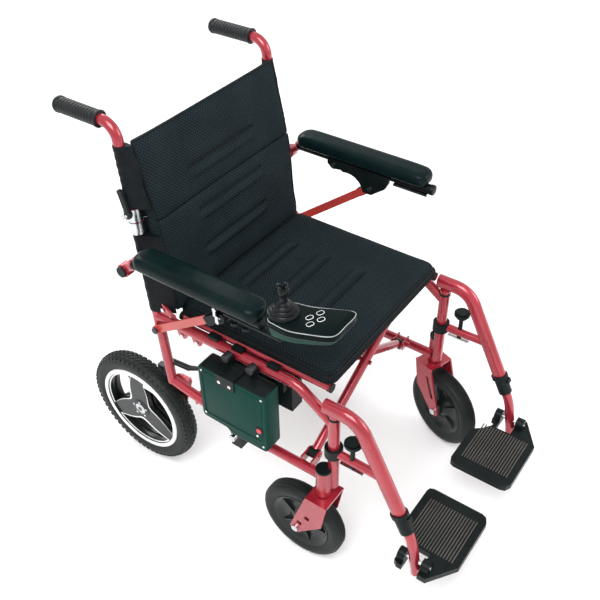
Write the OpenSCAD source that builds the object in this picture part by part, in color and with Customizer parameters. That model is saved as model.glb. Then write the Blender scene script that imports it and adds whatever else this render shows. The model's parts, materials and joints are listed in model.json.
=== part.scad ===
// Folding power wheelchair. Millimetres, +Z up, floor at z = 0, front towards -Y,
// the occupant's right side at -X. Right-hand parts are drawn and the left ones mirrored.

/* [Side frames] */
// Distance from the centre plane to each side frame
frame_x = 226; // [224:0.5:228]
// Radius of the side frame tubes
tube_r = 11; // [10.5:0.1:11.2]
// Height of the top rail's centre line
top_rail_z = 487; // [486:0.5:488]
// Height of the lower rail's level front stretch
low_rail_z = 252; // [250:0.5:253]
// Lean of the rear posts from vertical, in degrees
post_lean = 4.44; // [4:0.1:5]
// Position of the front legs, measured from the middle of the wheelbase
leg_y = -274; // [-275:0.5:-273]

/* [Seat and back] */
// Height of the seat rails' centre line
seat_rail_z = 498; // [498:0.5:499]
// Distance from the centre plane to each seat rail
seat_rail_x = 206; // [205:0.5:206.5]
// Height of the top of the seat cushion
seat_top_z = 536; // [530:0.5:536.5]
// Height where the back fabric ends at the top
back_top_z = 893; // [880:1:895]
// Height of the back hinge
back_hinge_z = 724; // [720:1:726]

/* [Wheels] */
// Radius of the rear tyres
rear_r = 152.5; // [150:0.5:155]
// Position of the rear axle
rear_y = 270; // [268:0.5:274]
// Radius of the caster tyres
caster_r = 100.8; // [98:0.2:101]
// Trail of the casters behind their swivel axes
caster_trail = 49.6; // [46:0.2:50]
// Swivel angle of the right caster
yaw_right = 0; // [-180:1:180]
// Swivel angle of the left caster
yaw_left = 160; // [-180:1:180]

/* [Armrests] */
// Height of the top of the armrest pads
pad_top_z = 704; // [700:0.5:706]
// Distance from the centre plane to the middle of each pad
arm_x = 278; // [277:0.5:279]
// Width of the armrest pads
pad_w = 56; // [50:1:58]

/* [Footrests] */
// Distance from the centre plane to each hanger
hanger_x = 230; // [229.5:0.5:230.5]
// Slope of the hanger's lower stretch below horizontal, in degrees
hanger_slope = 63; // [62:0.5:64]
// Height of the footplates' top face
plate_z = 142; // [140:0.5:142.5]

/* [Hidden] */
$fn = 48;
RED = "#b23046";
BLACK = "#1d2226";
FABRIC = "#26303a";
SILVER = "#c8ccd0";
run = 0.05;      // radial clearance of a running fit
gap = 0.35;      // clearance between parts that only pass each other
post_foot_z = 300;
post_foot_y = 160;
rail_front_y = -169;
rail_bend = 36;
rail_bend_r = 60;
leg_r = 12;
leg_foot_z = 244;
leg_top_z = 444;
low_level_y = -95;
barrel_x = 242;
barrel_y = -261;
barrel_r = 16.5;
barrel_z0 = 226;
barrel_z1 = 297;
stem_r = 6;
brace_r = 10;
brace_pivot_x = 196;
brace_pivot_z = 267;
brace_a_y = [-206, 82];
brace_step = 24;
brace_pin_r = 5;
cross_z = brace_pivot_z + brace_pivot_x * (seat_rail_z - brace_pivot_z) / (brace_pivot_x + seat_rail_x);
seat_rail_r = 9;
saddle_y = [20, -42, -130];
stub_z = 638;
stub_r = 11;
arm_tube_z = 662;
strut_foot = [166, 462];
strut_head = [-48, 624];
strut_pin_r = 4;
sleeve_r = 15;
hinge_off = 25;
grip_r = 15.5;
grip_y0 = 243;
grip_y1 = 357;
handle_bend_r = 34;
hanger_z = 472;
hanger_back_y = -254;
hanger_bend_y = -295.4;
hanger_bend_r = 55;
hanger_flat = 3.5;
hanger_r = 12.5;
hanger_end_y = -434;
foot_tube_r = 11;
foot_bend_from = 48;
foot_bend_r = 150;
foot_slope = 80;
foot_end_z = 112;
flip_z = plate_z + 8;
latch_y = -320;
brace_bar_z = 350;
motor_x0 = 145;
wheel_in = 204;
wheel_out = 246.5;
batt_x0 = 238.4;
batt_x1 = 285;
plate_front_y = -556;
stick = [-273, -196];
case_top = 706;
cable_r = 3.6;
ball_r = 9;       // the joystick's ball, and how far it lies under the case's top
ball_drop = 4;

lever_pivot = [192, 744];
lever_lean = 76;

function post_y(z) = post_foot_y + (z - post_foot_z) * tan(post_lean);
function on_post(z) = [-frame_x, post_y(z), z];
function hinge_y() = post_y(back_hinge_z) + hinge_off;
function low_y(z) = low_level_y + (z - low_rail_z) / tan(low_slope());
function low_slope() = atan2(post_foot_z + 2 - low_rail_z, post_foot_y - low_level_y);
// Where the top rail's front bend ends, and the sloping stretch from there into the leg
function rail_end() = [-frame_x, rail_front_y - rail_bend_r * sin(rail_bend),
                       top_rail_z - rail_bend_r * (1 - cos(rail_bend))];
function rail_foot() = [-frame_x, leg_y, rail_end()[2] + (leg_y - rail_end()[1]) * tan(rail_bend)];
// Points along the hanger's straight stretch, measured from its lower end
function hang_dir() = [0, -cos(hanger_slope), -sin(hanger_slope)];
function bend_end() = [hanger_bend_y - hanger_bend_r * sin(hanger_slope),
                       hanger_z - hanger_bend_r * (1 - cos(hanger_slope))];
function hanger_end() = [-hanger_x, hanger_end_y,
                         bend_end()[1] + (hanger_end_y - bend_end()[0]) * tan(hanger_slope)];
function along(s) = hanger_end() + s * hang_dir();
function foot_centre() = along(foot_bend_from)
    + foot_bend_r * [0, sin(hanger_slope), -cos(hanger_slope)];
function foot_straight() = foot_centre()
    + foot_bend_r * [0, cos(90 + foot_slope), sin(90 + foot_slope)];
function foot_at(z) = [-hanger_x, foot_straight()[1] + (z - foot_straight()[2]) / tan(foot_slope), z];

// A round bar between two points
module rod(a, b, r) {
    v = b - a;
    l = norm(v);
    translate(a) rotate([0, acos(v[2] / l), atan2(v[1], v[0])]) cylinder(h = l, r = r);
}
// A round bar along X, Y
module bar_x(x0, x1, y, z, r) { translate([x0, y, z]) rotate([0, 90, 0]) cylinder(h = x1 - x0, r = r); }
module bar_y(y0, y1, x, z, r) { translate([x, y1, z]) rotate([90, 0, 0]) cylinder(h = y1 - y0, r = r); }
// A box given by its two corners
module box(a, b) { translate(a) cube(b - a); }
// A (y, z) outline extruded from x0 to x1
module slab_x(x0, x1) { translate([x0, 0, 0]) rotate([90, 0, 90]) linear_extrude(x1 - x0) children(); }
// An (x, z) outline extruded from y0 to y1
module slab_y(y0, y1) { translate([0, y1, 0]) rotate([90, 0, 0]) linear_extrude(y1 - y0) children(); }
// A bend in a plane of constant x; angles run from +Y towards +Z
module bend(c, big_r, from, to) {
    translate(c) rotate([90, 0, 90]) rotate([0, 0, from]) rotate_extrude(angle = to - from)
        translate([big_r, 0]) children();
}
// A thin band where two stretches of tube meet
module band(p, slope, r) { translate(p) rotate([90 + slope, 0, 0]) cylinder(h = 2, r = r + 0.15, center = true); }
// The origin is on the floor under the middle of the whole chair's length
module placed() { translate([0, -(rear_y + rear_r + plate_front_y) / 2, 0]) children(); }
module left_too(side) { if (side > 0) mirror([1, 0, 0]) children(); else children(); }
module rounded(w, l, r) {
    for (i = [-1, 1], j = [-1, 1]) translate([i * (w / 2 - r), j * (l / 2 - r)]) circle(r);
    square([w - 2 * r, l], center = true);
    square([w, l - 2 * r], center = true);
}

// ---- side frames -------------------------------------------------------------------
module rear_post() { rod(on_post(post_foot_z - 3), on_post(back_hinge_z - 10), tube_r); }
module barrel(r) { translate([-barrel_x, barrel_y, barrel_z0]) cylinder(h = barrel_z1 - barrel_z0, r = r); }

module upper_frame(side) {
    color(RED) left_too(side) difference() {
        union() {
            bar_y(rail_front_y, post_y(top_rail_z) - 3, -frame_x, top_rail_z, tube_r);
            band([-frame_x, rail_front_y, top_rail_z], 0, tube_r);
            band(rail_end(), rail_bend, tube_r);
            bend([-frame_x, rail_front_y, top_rail_z - rail_bend_r], rail_bend_r, 90, 90 + rail_bend)
                circle(tube_r);
            rod(rail_end(), rail_foot(), tube_r);
            translate([-frame_x, leg_y, leg_foot_z]) cylinder(h = leg_top_z - leg_foot_z, r = leg_r);
            // corner gusset and its two bolts
            slab_x(-frame_x - 2.5, -frame_x + 2.5)
                polygon([[post_y(490) - 66, top_rail_z + 6], [post_y(490) - 5, top_rail_z + 6],
                         [post_y(530) - 5, 530], [post_y(530) - 22, 530]]);
            for (p = [[130, 502], [154, 512]]) bar_x(-frame_x - 5, -frame_x + 5, p[0], p[1], 5);
            // tabs under the rail
            for (y = [88, 48]) slab_x(-frame_x - 3, -frame_x + 3)
                polygon([[y, 480], [y + 34, 480], [y + 27, 458], [y + 10, 458]]);
            for (y = [88, 48]) bar_x(-frame_x - 6, -frame_x + 6, y + 18, 465, 4.5);
        }
        translate([-frame_x, leg_y, leg_top_z - 62]) cylinder(h = 70, r = 8 + run);
        barrel(barrel_r + 0.1);
        rod(on_post(280), on_post(600), tube_r + 0.1);
    }
}

module clevis(y) {
    z0 = min(brace_pivot_z - 8, low_rail_at(y));
    z1 = max(brace_pivot_z + 8, low_rail_at(y));
    for (s = [-1, 1]) {
        translate([0, y + s * 12.7, 0]) {
            box([-frame_x, -2, z0], [-brace_pivot_x, 2, z1]);
            bar_y(-2, 2, -brace_pivot_x, brace_pivot_z, 10);
        }
    }
    bar_y(y - 17, y + 17, -brace_pivot_x, brace_pivot_z, brace_pin_r);
}
function low_rail_at(y) = y < low_level_y ? low_rail_z
    : low_rail_z + (y - low_level_y) * tan(low_slope());

module lower_frame(side) {
    clevis_y = side > 0 ? brace_step : 0;
    color(RED) left_too(side) difference() {
        union() {
            rear_post();
            rod([-frame_x, post_foot_y, post_foot_z + 2], [-frame_x, low_level_y, low_rail_z], tube_r);
            translate([-frame_x, low_level_y, low_rail_z]) sphere(tube_r + 0.4);
            translate([-frame_x, post_foot_y, post_foot_z + 1]) sphere(tube_r + 0.4);
            bar_y(barrel_y, low_level_y, -frame_x, low_rail_z, tube_r);
            barrel(barrel_r);
            for (y = brace_a_y) clevis(y + clevis_y);
            // armrest pivot stub and the strut's pin
            bar_x(-arm_x - 10, -frame_x, post_y(stub_z), stub_z, stub_r);
            bar_x(-249, -frame_x, strut_foot[0], strut_foot[1], strut_pin_r);
            bar_x(-251, -246.6, strut_foot[0], strut_foot[1], 7.5);
            // motor plate, hung from the rail inside the wheel
            slab_x(-201, -197) {
                polygon([[128, low_rail_at(128) - 6], [160, 296], [172, 290], [rear_y + 36, rear_r + 8],
                         [rear_y + 20, rear_r - 32], [rear_y - 36, rear_r - 22], [150, 215]]);
                translate([rear_y, rear_r]) circle(40);
            }
            box([-frame_x, 130, 284], [-197, 158, 298]);
            // hinge sleeve and its rear ear
            rod(on_post(back_hinge_z - 28), on_post(back_hinge_z - 2), sleeve_r);
            box([-frame_x - 4.8, post_y(715), back_hinge_z - 20], [-frame_x + 4.8, hinge_y(), back_hinge_z - 2]);
            bar_x(-frame_x - 4.8, -frame_x + 4.8, hinge_y(), back_hinge_z, 8);
            bar_x(-frame_x - 12, -frame_x + 12, hinge_y(), back_hinge_z, 3);
        }
        translate([-barrel_x, barrel_y, barrel_z0 - 1]) cylinder(h = 50, r = stem_r + run);
        bar_x(-202, -196, rear_y, rear_r, 12);
        // keep the leg's foot clear of the rail
        box([-frame_x - 30, barrel_y - 40, low_rail_z - 30], [-frame_x + 30, barrel_y - 16.5, low_rail_z + 30]);
    }
}

// Black plastic on a side frame: seat rail saddles, end plugs, cap and, on the right, the battery clip
module frame_plugs(side) {
    color(BLACK) left_too(side) {
        for (y = saddle_y) difference() {
            box([-frame_x - 4, y - 13, 478], [-seat_rail_x + 12, y + 13, 504]);
            bar_y(y - 20, y + 20, -frame_x, top_rail_z, tube_r + 0.05);
            bar_y(y - 20, y + 20, -seat_rail_x, seat_rail_z, seat_rail_r + gap);
            box([-seat_rail_x - seat_rail_r - gap, y - 20, seat_rail_z],
                [-seat_rail_x + seat_rail_r + gap, y + 20, 520]);
        }
        difference() {
            translate([-barrel_x, barrel_y, barrel_z1]) cylinder(h = 5, r = barrel_r + 0.6);
            translate([-frame_x, leg_y, barrel_z1 - 1]) cylinder(h = 7, r = leg_r + 0.05);
        }
        difference() {
            translate([-frame_x, leg_y, leg_top_z]) cylinder(h = 5, r = leg_r + 1);
            translate([-frame_x, leg_y, leg_top_z - 1]) cylinder(h = 8, r = 8 + gap);
            rod(rail_end(), rail_foot(), tube_r + 0.1);
        }
        bar_x(-arm_x - 15, -arm_x - 10, post_y(stub_z), stub_z, stub_r + 0.6);
        if (side < 0) battery_clip();
    }
}
module battery_clip() {
    // plate and hook over the battery's top edge
    box([-batt_x1 - 3, -78, 450], [-batt_x1 - 0.1, -32, 479]);
    box([-batt_x1 - 3, -78, 475.6], [-239, -32, 479]);
    for (y = [-68, -42]) bar_x(-batt_x1 - 5, -batt_x1 - 2, y, 462, 4);
    // clamp knobs on the top rail
    for (y = [-98, -37]) {
        box([-250, y - 8, 479.2], [-238, y + 8, 494]);
        bar_x(-262, -244, y, 500, 9);
    }
    // clamp under the battery, gripping the lower rail
    difference() {
        box([-262, -62, low_rail_at(-50) - 14], [-frame_x, -36, 320.6]);
        rod([-frame_x, post_foot_y, post_foot_z + 2], [-frame_x, low_level_y, low_rail_z], tube_r + 0.05);
    }
    bar_x(-276, -262, -49, 284, 8);
}

// ---- motors, battery and controller --------------------------------------------------
module motor(side) {
    color("#3a3d40") left_too(side) {
        bar_x(-196.8, -motor_x0 - 18, rear_y, rear_r, 46);
        bar_x(-motor_x0 - 18, -motor_x0, rear_y, rear_r, 34);
        bar_x(-243, -196, rear_y, rear_r, 8);
        // brake release housing on top of the gearbox
        box([-194, rear_y - 50, rear_r + 34], [-168, rear_y - 10, rear_r + 60]);
        box([-190, rear_y - 46, rear_r + 60], [-176, rear_y - 26, rear_r + 122]);
    }
}
module battery_box() {
    color("#23403c") difference() {
        union() {
            slab_x(-batt_x1, -batt_x0) {
                translate([-67.5, 398]) rounded(169, 154, 8);
            }
            slab_x(-batt_x1 + 2, -batt_x0 - 2) translate([-106, 318.5]) rounded(88, 9, 3);
        }
        bar_x(-batt_x1 - 1, -batt_x1 + 8, -135, 374, 6 + gap);
    }
}
module power_button() { color("#c02030") bar_x(-batt_x1 - 3, -batt_x1 + 5, -135, 374, 6); }
module controller_box() {
    color(BLACK) {
        box([-212, -164, 382], [-178, -20, 456]);
        // brackets up to the top rail
        for (y = [-150, -34]) box([-230, y - 7, 448], [-208, y + 7, top_rail_z - tube_r - 0.1]);
    }
}
// Two cables from the controller to the right-hand motor, with their connector
module controller_cables() {
    color(BLACK) {
        for (p = [[-204, 402], [-196, 392]]) {
            sag = [p[0], 40, p[1] - 20];
            low = [p[0] - 1, 128, 334];
            rod([p[0], -18.7, p[1]], sag, cable_r);
            rod(sag, low, cable_r);
            rod(low, [p[0] + 10, 200, 312], cable_r);
            for (q = [sag, low]) translate(q) sphere(cable_r + 0.4);
        }
        box([-208, 60, 352], [-192, 88, 372]);
    }
}

// ---- folding cross brace ---------------------------------------------------------------
// One arm of the cross: hinged at a lower rail, carrying the opposite seat rail
module brace_arm(dy) {
    for (y = brace_a_y) difference() {
        union() {
            rod([-brace_pivot_x, y + dy, brace_pivot_z], [seat_rail_x, y + dy, seat_rail_z], brace_r);
            bar_y(y + dy - 10.3, y + dy + 10.3, -brace_pivot_x, brace_pivot_z, 12);
        }
        bar_y(y + dy - 15, y + dy + 15, -brace_pivot_x, brace_pivot_z, brace_pin_r + run);
    }
    bar_y(-252, 118, seat_rail_x, seat_rail_z, seat_rail_r);
    for (y = [-256, 112]) bar_y(y, y + 10, seat_rail_x, seat_rail_z, seat_rail_r + 1);
}
module cross_brace_a() {
    color(RED) {
        brace_arm(0);
        for (y = brace_a_y) bar_y(y - 14, y + brace_step + 14, 0, cross_z, brace_pin_r);
    }
}
module cross_brace_b() {
    color(RED) difference() {
        mirror([1, 0, 0]) brace_arm(brace_step);
        for (y = brace_a_y) bar_y(y - 14, y + brace_step + 14, 0, cross_z, brace_pin_r + run);
    }
}

// ---- seat and back ---------------------------------------------------------------------
module seat_cushion() {
    bottom = seat_rail_z + seat_rail_r + 1.4;
    color(FABRIC) translate([0, -71, bottom])
        linear_extrude(seat_top_z - bottom) rounded(428, 374, 16);
}
// Thickness of the back pad at a height: thin at the shoulders, full at the waist
function pad_depth(z) = 14 + 30 * sin(90 * min(1, max(0, (back_top_z - z) / 240)));
module back_slab(z0, z1) {
    zs = [for (i = [0 : 6]) z0 + (z1 - z0) * i / 6];
    difference() {
        slab_x(-220, 220) polygon(concat(
            [for (z = zs) [post_y(z) - tube_r - 1 - pad_depth(z), z]],
            [[post_y(z1) - tube_r - 1, z1], [post_y(z0) - tube_r - 1, z0]]));
        // relief around the hinge sleeves
        for (s = [-1, 1]) rod([s * frame_x, post_y(back_hinge_z - 34), back_hinge_z - 34],
                              [s * frame_x, post_y(back_hinge_z + 34), back_hinge_z + 34], sleeve_r + 0.5);
    }
}
module back_pad_lower() { color(FABRIC) back_slab(510, back_hinge_z + 2.6); }
module back_pad_upper() { color(FABRIC) back_slab(back_hinge_z + 3.4, back_top_z); }

module back_tube(side) {
    top = on_post(back_top_z);
    c = top + handle_bend_r * [0, cos(post_lean), -sin(post_lean)];
    color(RED) left_too(side) difference() {
        union() {
            rod(on_post(back_hinge_z), top, tube_r);
            bend(c, handle_bend_r, 90, 180 - post_lean) circle(tube_r);
            band(top, 90 - post_lean, tube_r);
            band([-frame_x, c[1], c[2] + handle_bend_r], 0, tube_r);
            bar_y(c[1], grip_y1 - 6, -frame_x, c[2] + handle_bend_r, tube_r);
            rod(on_post(back_hinge_z), on_post(back_hinge_z + 28), sleeve_r);
            for (s = [-1, 1]) {
                box([-frame_x + s * 7.6 - 2.5, post_y(735), back_hinge_z + 2],
                    [-frame_x + s * 7.6 + 2.5, hinge_y(), back_hinge_z + 18]);
                bar_x(-frame_x + s * 7.6 - 2.5, -frame_x + s * 7.6 + 2.5, hinge_y(), back_hinge_z, 8);
            }
            bar_x(-250, -frame_x, lever_pivot[0], lever_pivot[1], 3);
        }
        bar_x(-frame_x - 14, -frame_x + 14, hinge_y(), back_hinge_z, 3 + run);
    }
}
module grip(side) {
    z = on_post(back_top_z)[2] - handle_bend_r * sin(post_lean) + handle_bend_r;
    color(BLACK) left_too(side) difference() {
        union() {
            bar_y(grip_y0, grip_y1 - 4, -frame_x, z, grip_r);
            bar_y(grip_y0, grip_y0 + 4, -frame_x, z, grip_r + 1.5);
            bar_y(grip_y1 - 5, grip_y1, -frame_x, z, grip_r - 2.5);
        }
        bar_y(grip_y0 - 1, grip_y1 - 5.5, -frame_x, z, tube_r + run);
    }
}
module back_lever(side) {
    p = lever_pivot;
    color(BLACK) left_too(side) difference() {
        slab_x(-247, -frame_x - sleeve_r - gap) {
            translate(p) circle(8.5);
            translate(p) rotate(lever_lean) translate([0, -6]) square([48, 12]);
            translate(p + 48 * [cos(lever_lean), sin(lever_lean)]) circle(7);
        }
        bar_x(-252, -238, p[0], p[1], 3 + run);
    }
}

// ---- armrests ---------------------------------------------------------------------------
function arm_front(side) = side > 0 ? -188 : -152;
module arm_rail(side) {
    y = post_y(stub_z);
    color(RED) left_too(side) difference() {
        union() {
            bar_y(arm_front(side), y - 26, -arm_x, arm_tube_z, tube_r);
            bar_x(-arm_x - 9, -arm_x + 9, y, stub_z, 14.5);
            rod([-arm_x, y, stub_z], [-arm_x, y - 28, arm_tube_z], 9.5);
            translate([-arm_x, y - 26, arm_tube_z]) sphere(tube_r);
        }
        bar_x(-arm_x - 20, -arm_x + 20, y, stub_z, stub_r + run);
    }
}
module arm_pad(side) {
    // the left pad, with no joystick in front of it, is the longer one
    front = side > 0 ? -185 : -154;
    back = side > 0 ? 157 : 145;
    color(BLACK) left_too(side) {
        translate([-arm_x, (front + back) / 2, arm_tube_z + tube_r + 0.3])
            linear_extrude(pad_top_z - arm_tube_z - tube_r - 0.3) rounded(pad_w, back - front, 20);
        if (side > 0) bar_y(arm_front(side) - 8, arm_front(side), -arm_x, arm_tube_z, tube_r + 1);
    }
}
module arm_bracket(side) {
    h = strut_head;
    color(BLACK) left_too(side) {
        slab_x(-265, -256) {
            difference() {
                union() {
                    polygon([[66, 668], [66, 656], [54, 645], [30, 648], [-30, 612], [h[0], h[1] - 14],
                             [h[0] - 12, h[1] - 8], [-86, 636], [-94, 652], [-94, 668]]);
                    translate([50, 653]) circle(8.5);
                    translate(h) circle(14);
                }
                translate([12, 603]) circle(43);
            }
        }
        // rear bolt, up to the rail
        bar_x(-arm_x + tube_r - 0.1, -253, 50, 655, 5);
        bar_x(-256, -253, h[0], h[1], 5.5);
        bar_x(-278.4, -265, h[0], h[1], strut_pin_r);
        // spare mounting bar under the left rail
        if (side > 0) box([-285, -184, 645.4], [-269, -100, arm_tube_z - tube_r - 0.1]);
    }
}
module arm_strut(side) {
    f = strut_foot;
    h = strut_head;
    v = h - f;
    l = norm(v);
    tilt = atan2(30, l);
    color("#d8503c") left_too(side) difference() {
        union() {
            bar_x(-246.2, -frame_x - tube_r - gap - 1, f[0], f[1], 10);
            // flat bar, set outwards as it rises
            translate([-241, f[0], f[1]]) rotate([atan2(v[1], v[0]), 0, 0]) rotate([0, 0, tilt])
                translate([-2, 0, -9]) cube([4, l - 22, 18]);
            slab_x(-278, -266.4) {
                translate(h) circle(13);
                translate(h) rotate(atan2(-v[1], -v[0])) translate([0, -10]) square([44, 20]);
            }
        }
        bar_x(-260, -220, f[0], f[1], strut_pin_r + run);
        bar_x(-290, -260, h[0], h[1], strut_pin_r + gap);
        // open cradle that lets the pin lift out upwards and backwards
        slab_x(-290, -260) polygon([h + [-4.4, 0], h + [-4.4, 16], h + [18, 16], h + [3.6, -2.4]]);
    }
}
module arm_latch(side) {
    h = strut_head;
    color(SILVER) left_too(side) {
        bar_x(-283, -278.3, h[0], h[1] - 8, 3.5);
        slab_x(-282.6, -279) {
            translate([h[0] - 2, h[1] - 10]) square([7, 17]);
            translate([h[0] + 3, h[1] + 4]) square([6, 16]);
            translate([h[0] + 6, h[1] + 20]) circle(4.5);
        }
    }
}

// ---- footrests ---------------------------------------------------------------------------
module oval() {
    for (s = [-1, 1]) translate([0, s * hanger_flat]) circle(hanger_r);
    square([2 * hanger_r, 2 * hanger_flat], center = true);
}
module oval_grown(d) {
    for (s = [-1, 1]) translate([0, s * hanger_flat]) circle(hanger_r + d);
    square([2 * (hanger_r + d), 2 * hanger_flat], center = true);
}
// Stretch along the hanger's slope, between two distances from its lower end
module sloped(s0, s1) {
    translate(along(s0)) rotate([90 + hanger_slope, 0, 0]) linear_extrude(s1 - s0) children();
}
module hanger(side) {
    e = bend_end();
    drop = norm(hanger_end() - [-hanger_x, e[0], e[1]]);
    color(RED) left_too(side) difference() {
        union() {
            translate([-hanger_x, hanger_back_y, hanger_z]) rotate([90, 0, 0])
                linear_extrude(hanger_back_y - hanger_bend_y) oval();
            bend([-hanger_x, hanger_bend_y, hanger_z - hanger_bend_r], hanger_bend_r, 90, 90 + hanger_slope)
                rotate(90) oval();
            sloped(-drop, 0) oval();
            sloped(-drop - 1, -drop + 1) oval_grown(0.15);
            translate([-hanger_x, hanger_bend_y + 1, hanger_z]) rotate([90, 0, 0])
                linear_extrude(2) oval_grown(0.15);
            rod([-hanger_x + 2, leg_y - 12, brace_bar_z], [-hanger_x, -392, brace_bar_z], 9.5);
            translate([-frame_x, leg_y, leg_top_z - 54]) cylinder(h = 70, r = 8);
            translate([-frame_x, leg_y, leg_top_z + 5.4]) cylinder(h = 8, r = 12);
        }
        sloped(-130, 1) circle(foot_tube_r + run);
        translate([-frame_x, leg_y, brace_bar_z - 20]) cylinder(h = 40, r = 19.1);
        translate([-hanger_x, latch_y, brace_bar_z - 20]) cylinder(h = 40, r = 5 + run);
    }
}
module hanger_collar(side) {
    color(BLACK) left_too(side) {
        difference() {
            union() {
                sloped(-9, 1) oval_grown(3.5);
                sloped(0.2, 40) circle(15.5);
                sloped(2, 12) translate([0, 17]) square([12, 10], center = true);
            }
            sloped(-10, 0.1) oval_grown(0.05);
            sloped(-20, 50) circle(foot_tube_r + gap);
        }
        // clamp around the leg
        translate([-frame_x, leg_y, brace_bar_z - 12]) difference() {
            cylinder(h = 24, r = 19);
            translate([0, 0, -1]) cylinder(h = 26, r = leg_r + gap);
        }
    }
}
module latch_knob(side) {
    color(BLACK) left_too(side) translate([-hanger_x, latch_y, 0]) {
        translate([0, 0, brace_bar_z - 18]) cylinder(h = 66, r = 5);
        translate([0, 0, brace_bar_z + 44]) cylinder(h = 7, r = 13);
        translate([0, 0, brace_bar_z + 51]) cylinder(h = 6, r = 18);
        translate([0, 0, brace_bar_z + 57]) cylinder(h = 4, r = 14);
        // silver release blade under the clamp
        box([-7, -26, brace_bar_z - 19], [7, 26, brace_bar_z - 15]);
    }
}
module footrest_tube(side) {
    f = foot_at(flip_z);
    color(RED) left_too(side) {
        rod(along(-120), along(foot_bend_from), foot_tube_r);
        bend(foot_centre(), foot_bend_r, 90 + hanger_slope, 90 + foot_slope) circle(foot_tube_r);
        rod([-hanger_x, foot_straight()[1], foot_straight()[2]], foot_at(foot_end_z), foot_tube_r);
        band([-hanger_x, foot_straight()[1], foot_straight()[2]], foot_slope, foot_tube_r);
        band(along(foot_bend_from), hanger_slope, foot_tube_r);
        bar_y(f[1] - 38, f[1] + 36, -hanger_x, flip_z, 4);
    }
}
module plate_outline() {
    polygon([[-57, -411], [-150, -411], [-163, -416], [-175, -431], [-196, -447], [-215, -447],
             [-215, -438], [-246, -438], [-252, -446], [-252, -512], [-190, plate_front_y], [-63, plate_front_y],
             [-49, -549], [-45, -538], [-45, -423], [-49, -414]]);
}
module footplate(side) {
    y = foot_at(flip_z)[1];
    slot = [y - 18, y + 18];
    color(BLACK) left_too(side) difference() {
        union() {
            translate([0, 0, plate_z - 15]) linear_extrude(15) plate_outline();
            for (e = [[slot[0] - 18, slot[0]], [slot[1], slot[1] + 17]]) slab_y(e[0], e[1]) {
                translate([-hanger_x, flip_z]) circle(14);
                translate([-hanger_x - 14, plate_z - 15]) square([28, flip_z - plate_z + 15]);
            }
            // grip ridges
            for (i = [0 : 17]) box([-190, -540 + 6.4 * i, plate_z - 1], [-72, -537.6 + 6.4 * i, plate_z + 1.2]);
        }
        box([-260, slot[0], plate_z - 40], [-hanger_x + 35, slot[1], plate_z + 60]);
        bar_y(y - 60, y + 60, -hanger_x, flip_z, 4 + run);
    }
}

// ---- casters ------------------------------------------------------------------------------
module at_caster(side) {
    translate([side * barrel_x, barrel_y, 0]) rotate([0, 0, side > 0 ? yaw_left : yaw_right]) children();
}
module caster_fork(side) {
    arm = [[-29, 222], [24, 222], [caster_trail + 13, caster_r + 5], [caster_trail - 6, caster_r - 12],
           [-16, 148]];
    color(RED) at_caster(side) {
        difference() {
            union() {
                translate([0, 0, 214]) cylinder(h = 8, r = 25);
                box([-34, -28, 216], [34, 24, 222]);
                for (s = [-34, 30]) slab_x(s, s + 4) {
                    polygon(arm);
                    translate([caster_trail, caster_r]) circle(14);
                }
            }
            // lightening holes: two diamonds in one arm, one long slot in the other
            for (p = [[40, 124], [20, 154]]) slab_x(-40, -20) translate(p) rotate(12) square(12, center = true);
            slab_x(20, 40) translate([27, 164]) rotate(-66) square([62, 9], center = true);
        }
        translate([0, 0, 222]) cylinder(h = 3.4, r = 11);
        translate([0, 0, 220]) cylinder(h = 52, r = stem_r);
        bar_x(-38, 38, caster_trail, caster_r, 5);
        for (x = [-39, 34]) bar_x(x, x + 5, caster_trail, caster_r, 8);
    }
}
module spun(side) {
    at_caster(side) translate([0, caster_trail, caster_r]) rotate([0, 90, 0]) children();
}
module caster_rim(side) {
    color("#15181a") spun(side) difference() {
        union() {
            cylinder(h = 20, r = 66, center = true);
            cylinder(h = 56, r = 13, center = true);
            difference() {
                cylinder(h = 32, r = 70, center = true);
                cylinder(h = 40, r = 60, center = true);
            }
        }
        cylinder(h = 80, r = 5 + run, center = true);
        for (i = [0 : 4]) rotate([0, 0, 72 * i]) translate([40, 0, 0]) cylinder(h = 40, r = 5, center = true);
    }
}
// A tyre's outline: bead, sidewall, shoulder and tread
module tyre_outline(outer, bead, half) {
    side = [[bead, half - 5], [bead + 4, half - 3], [bead + 0.45 * (outer - bead), half],
            [outer - 9, half - 2], [outer - 3, half - 7], [outer, half - 12]];
    polygon(concat(side, [for (i = [len(side) - 1 : -1 : 0]) [side[i][0], -side[i][1]]]));
}
module caster_tyre(side) {
    color(BLACK) spun(side) rotate_extrude($fn = 96) difference() {
        tyre_outline(caster_r, 70.2, 19.8);
        for (y = [-11, -5.5, 0, 5.5, 11]) translate([caster_r - 1.6, y - 0.7]) square([5, 1.4]);
    }
}

// ---- rear wheels ----------------------------------------------------------------------------
module at_rear() { translate([-(wheel_in + wheel_out) / 2, rear_y, rear_r]) rotate([90, 0, 90]) children(); }
module rear_rim(side) {
    color(SILVER) left_too(side) at_rear() difference() {
        union() {
            difference() {
                translate([0, 0, -19]) cylinder(h = 38, r = 115.8);
                translate([0, 0, -30]) cylinder(h = 60, r = 99.5);
            }
            // three spokes left between three wide openings
            translate([0, 0, -15]) linear_extrude(13) difference() {
                circle(100.5);
                for (a = [90, 210, 330]) intersection() {
                    rotate(a) translate([95, 0]) circle(65);
                    circle(97);
                }
            }
            translate([0, 0, -17]) cylinder(h = 30, r = 26);
        }
        translate([0, 0, -40]) cylinder(h = 80, r = 8 + run);
    }
}
module rear_tyre(side) {
    color(BLACK) left_too(side) at_rear() rotate_extrude($fn = 96) tyre_outline(rear_r, 116, 21);
}

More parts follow.
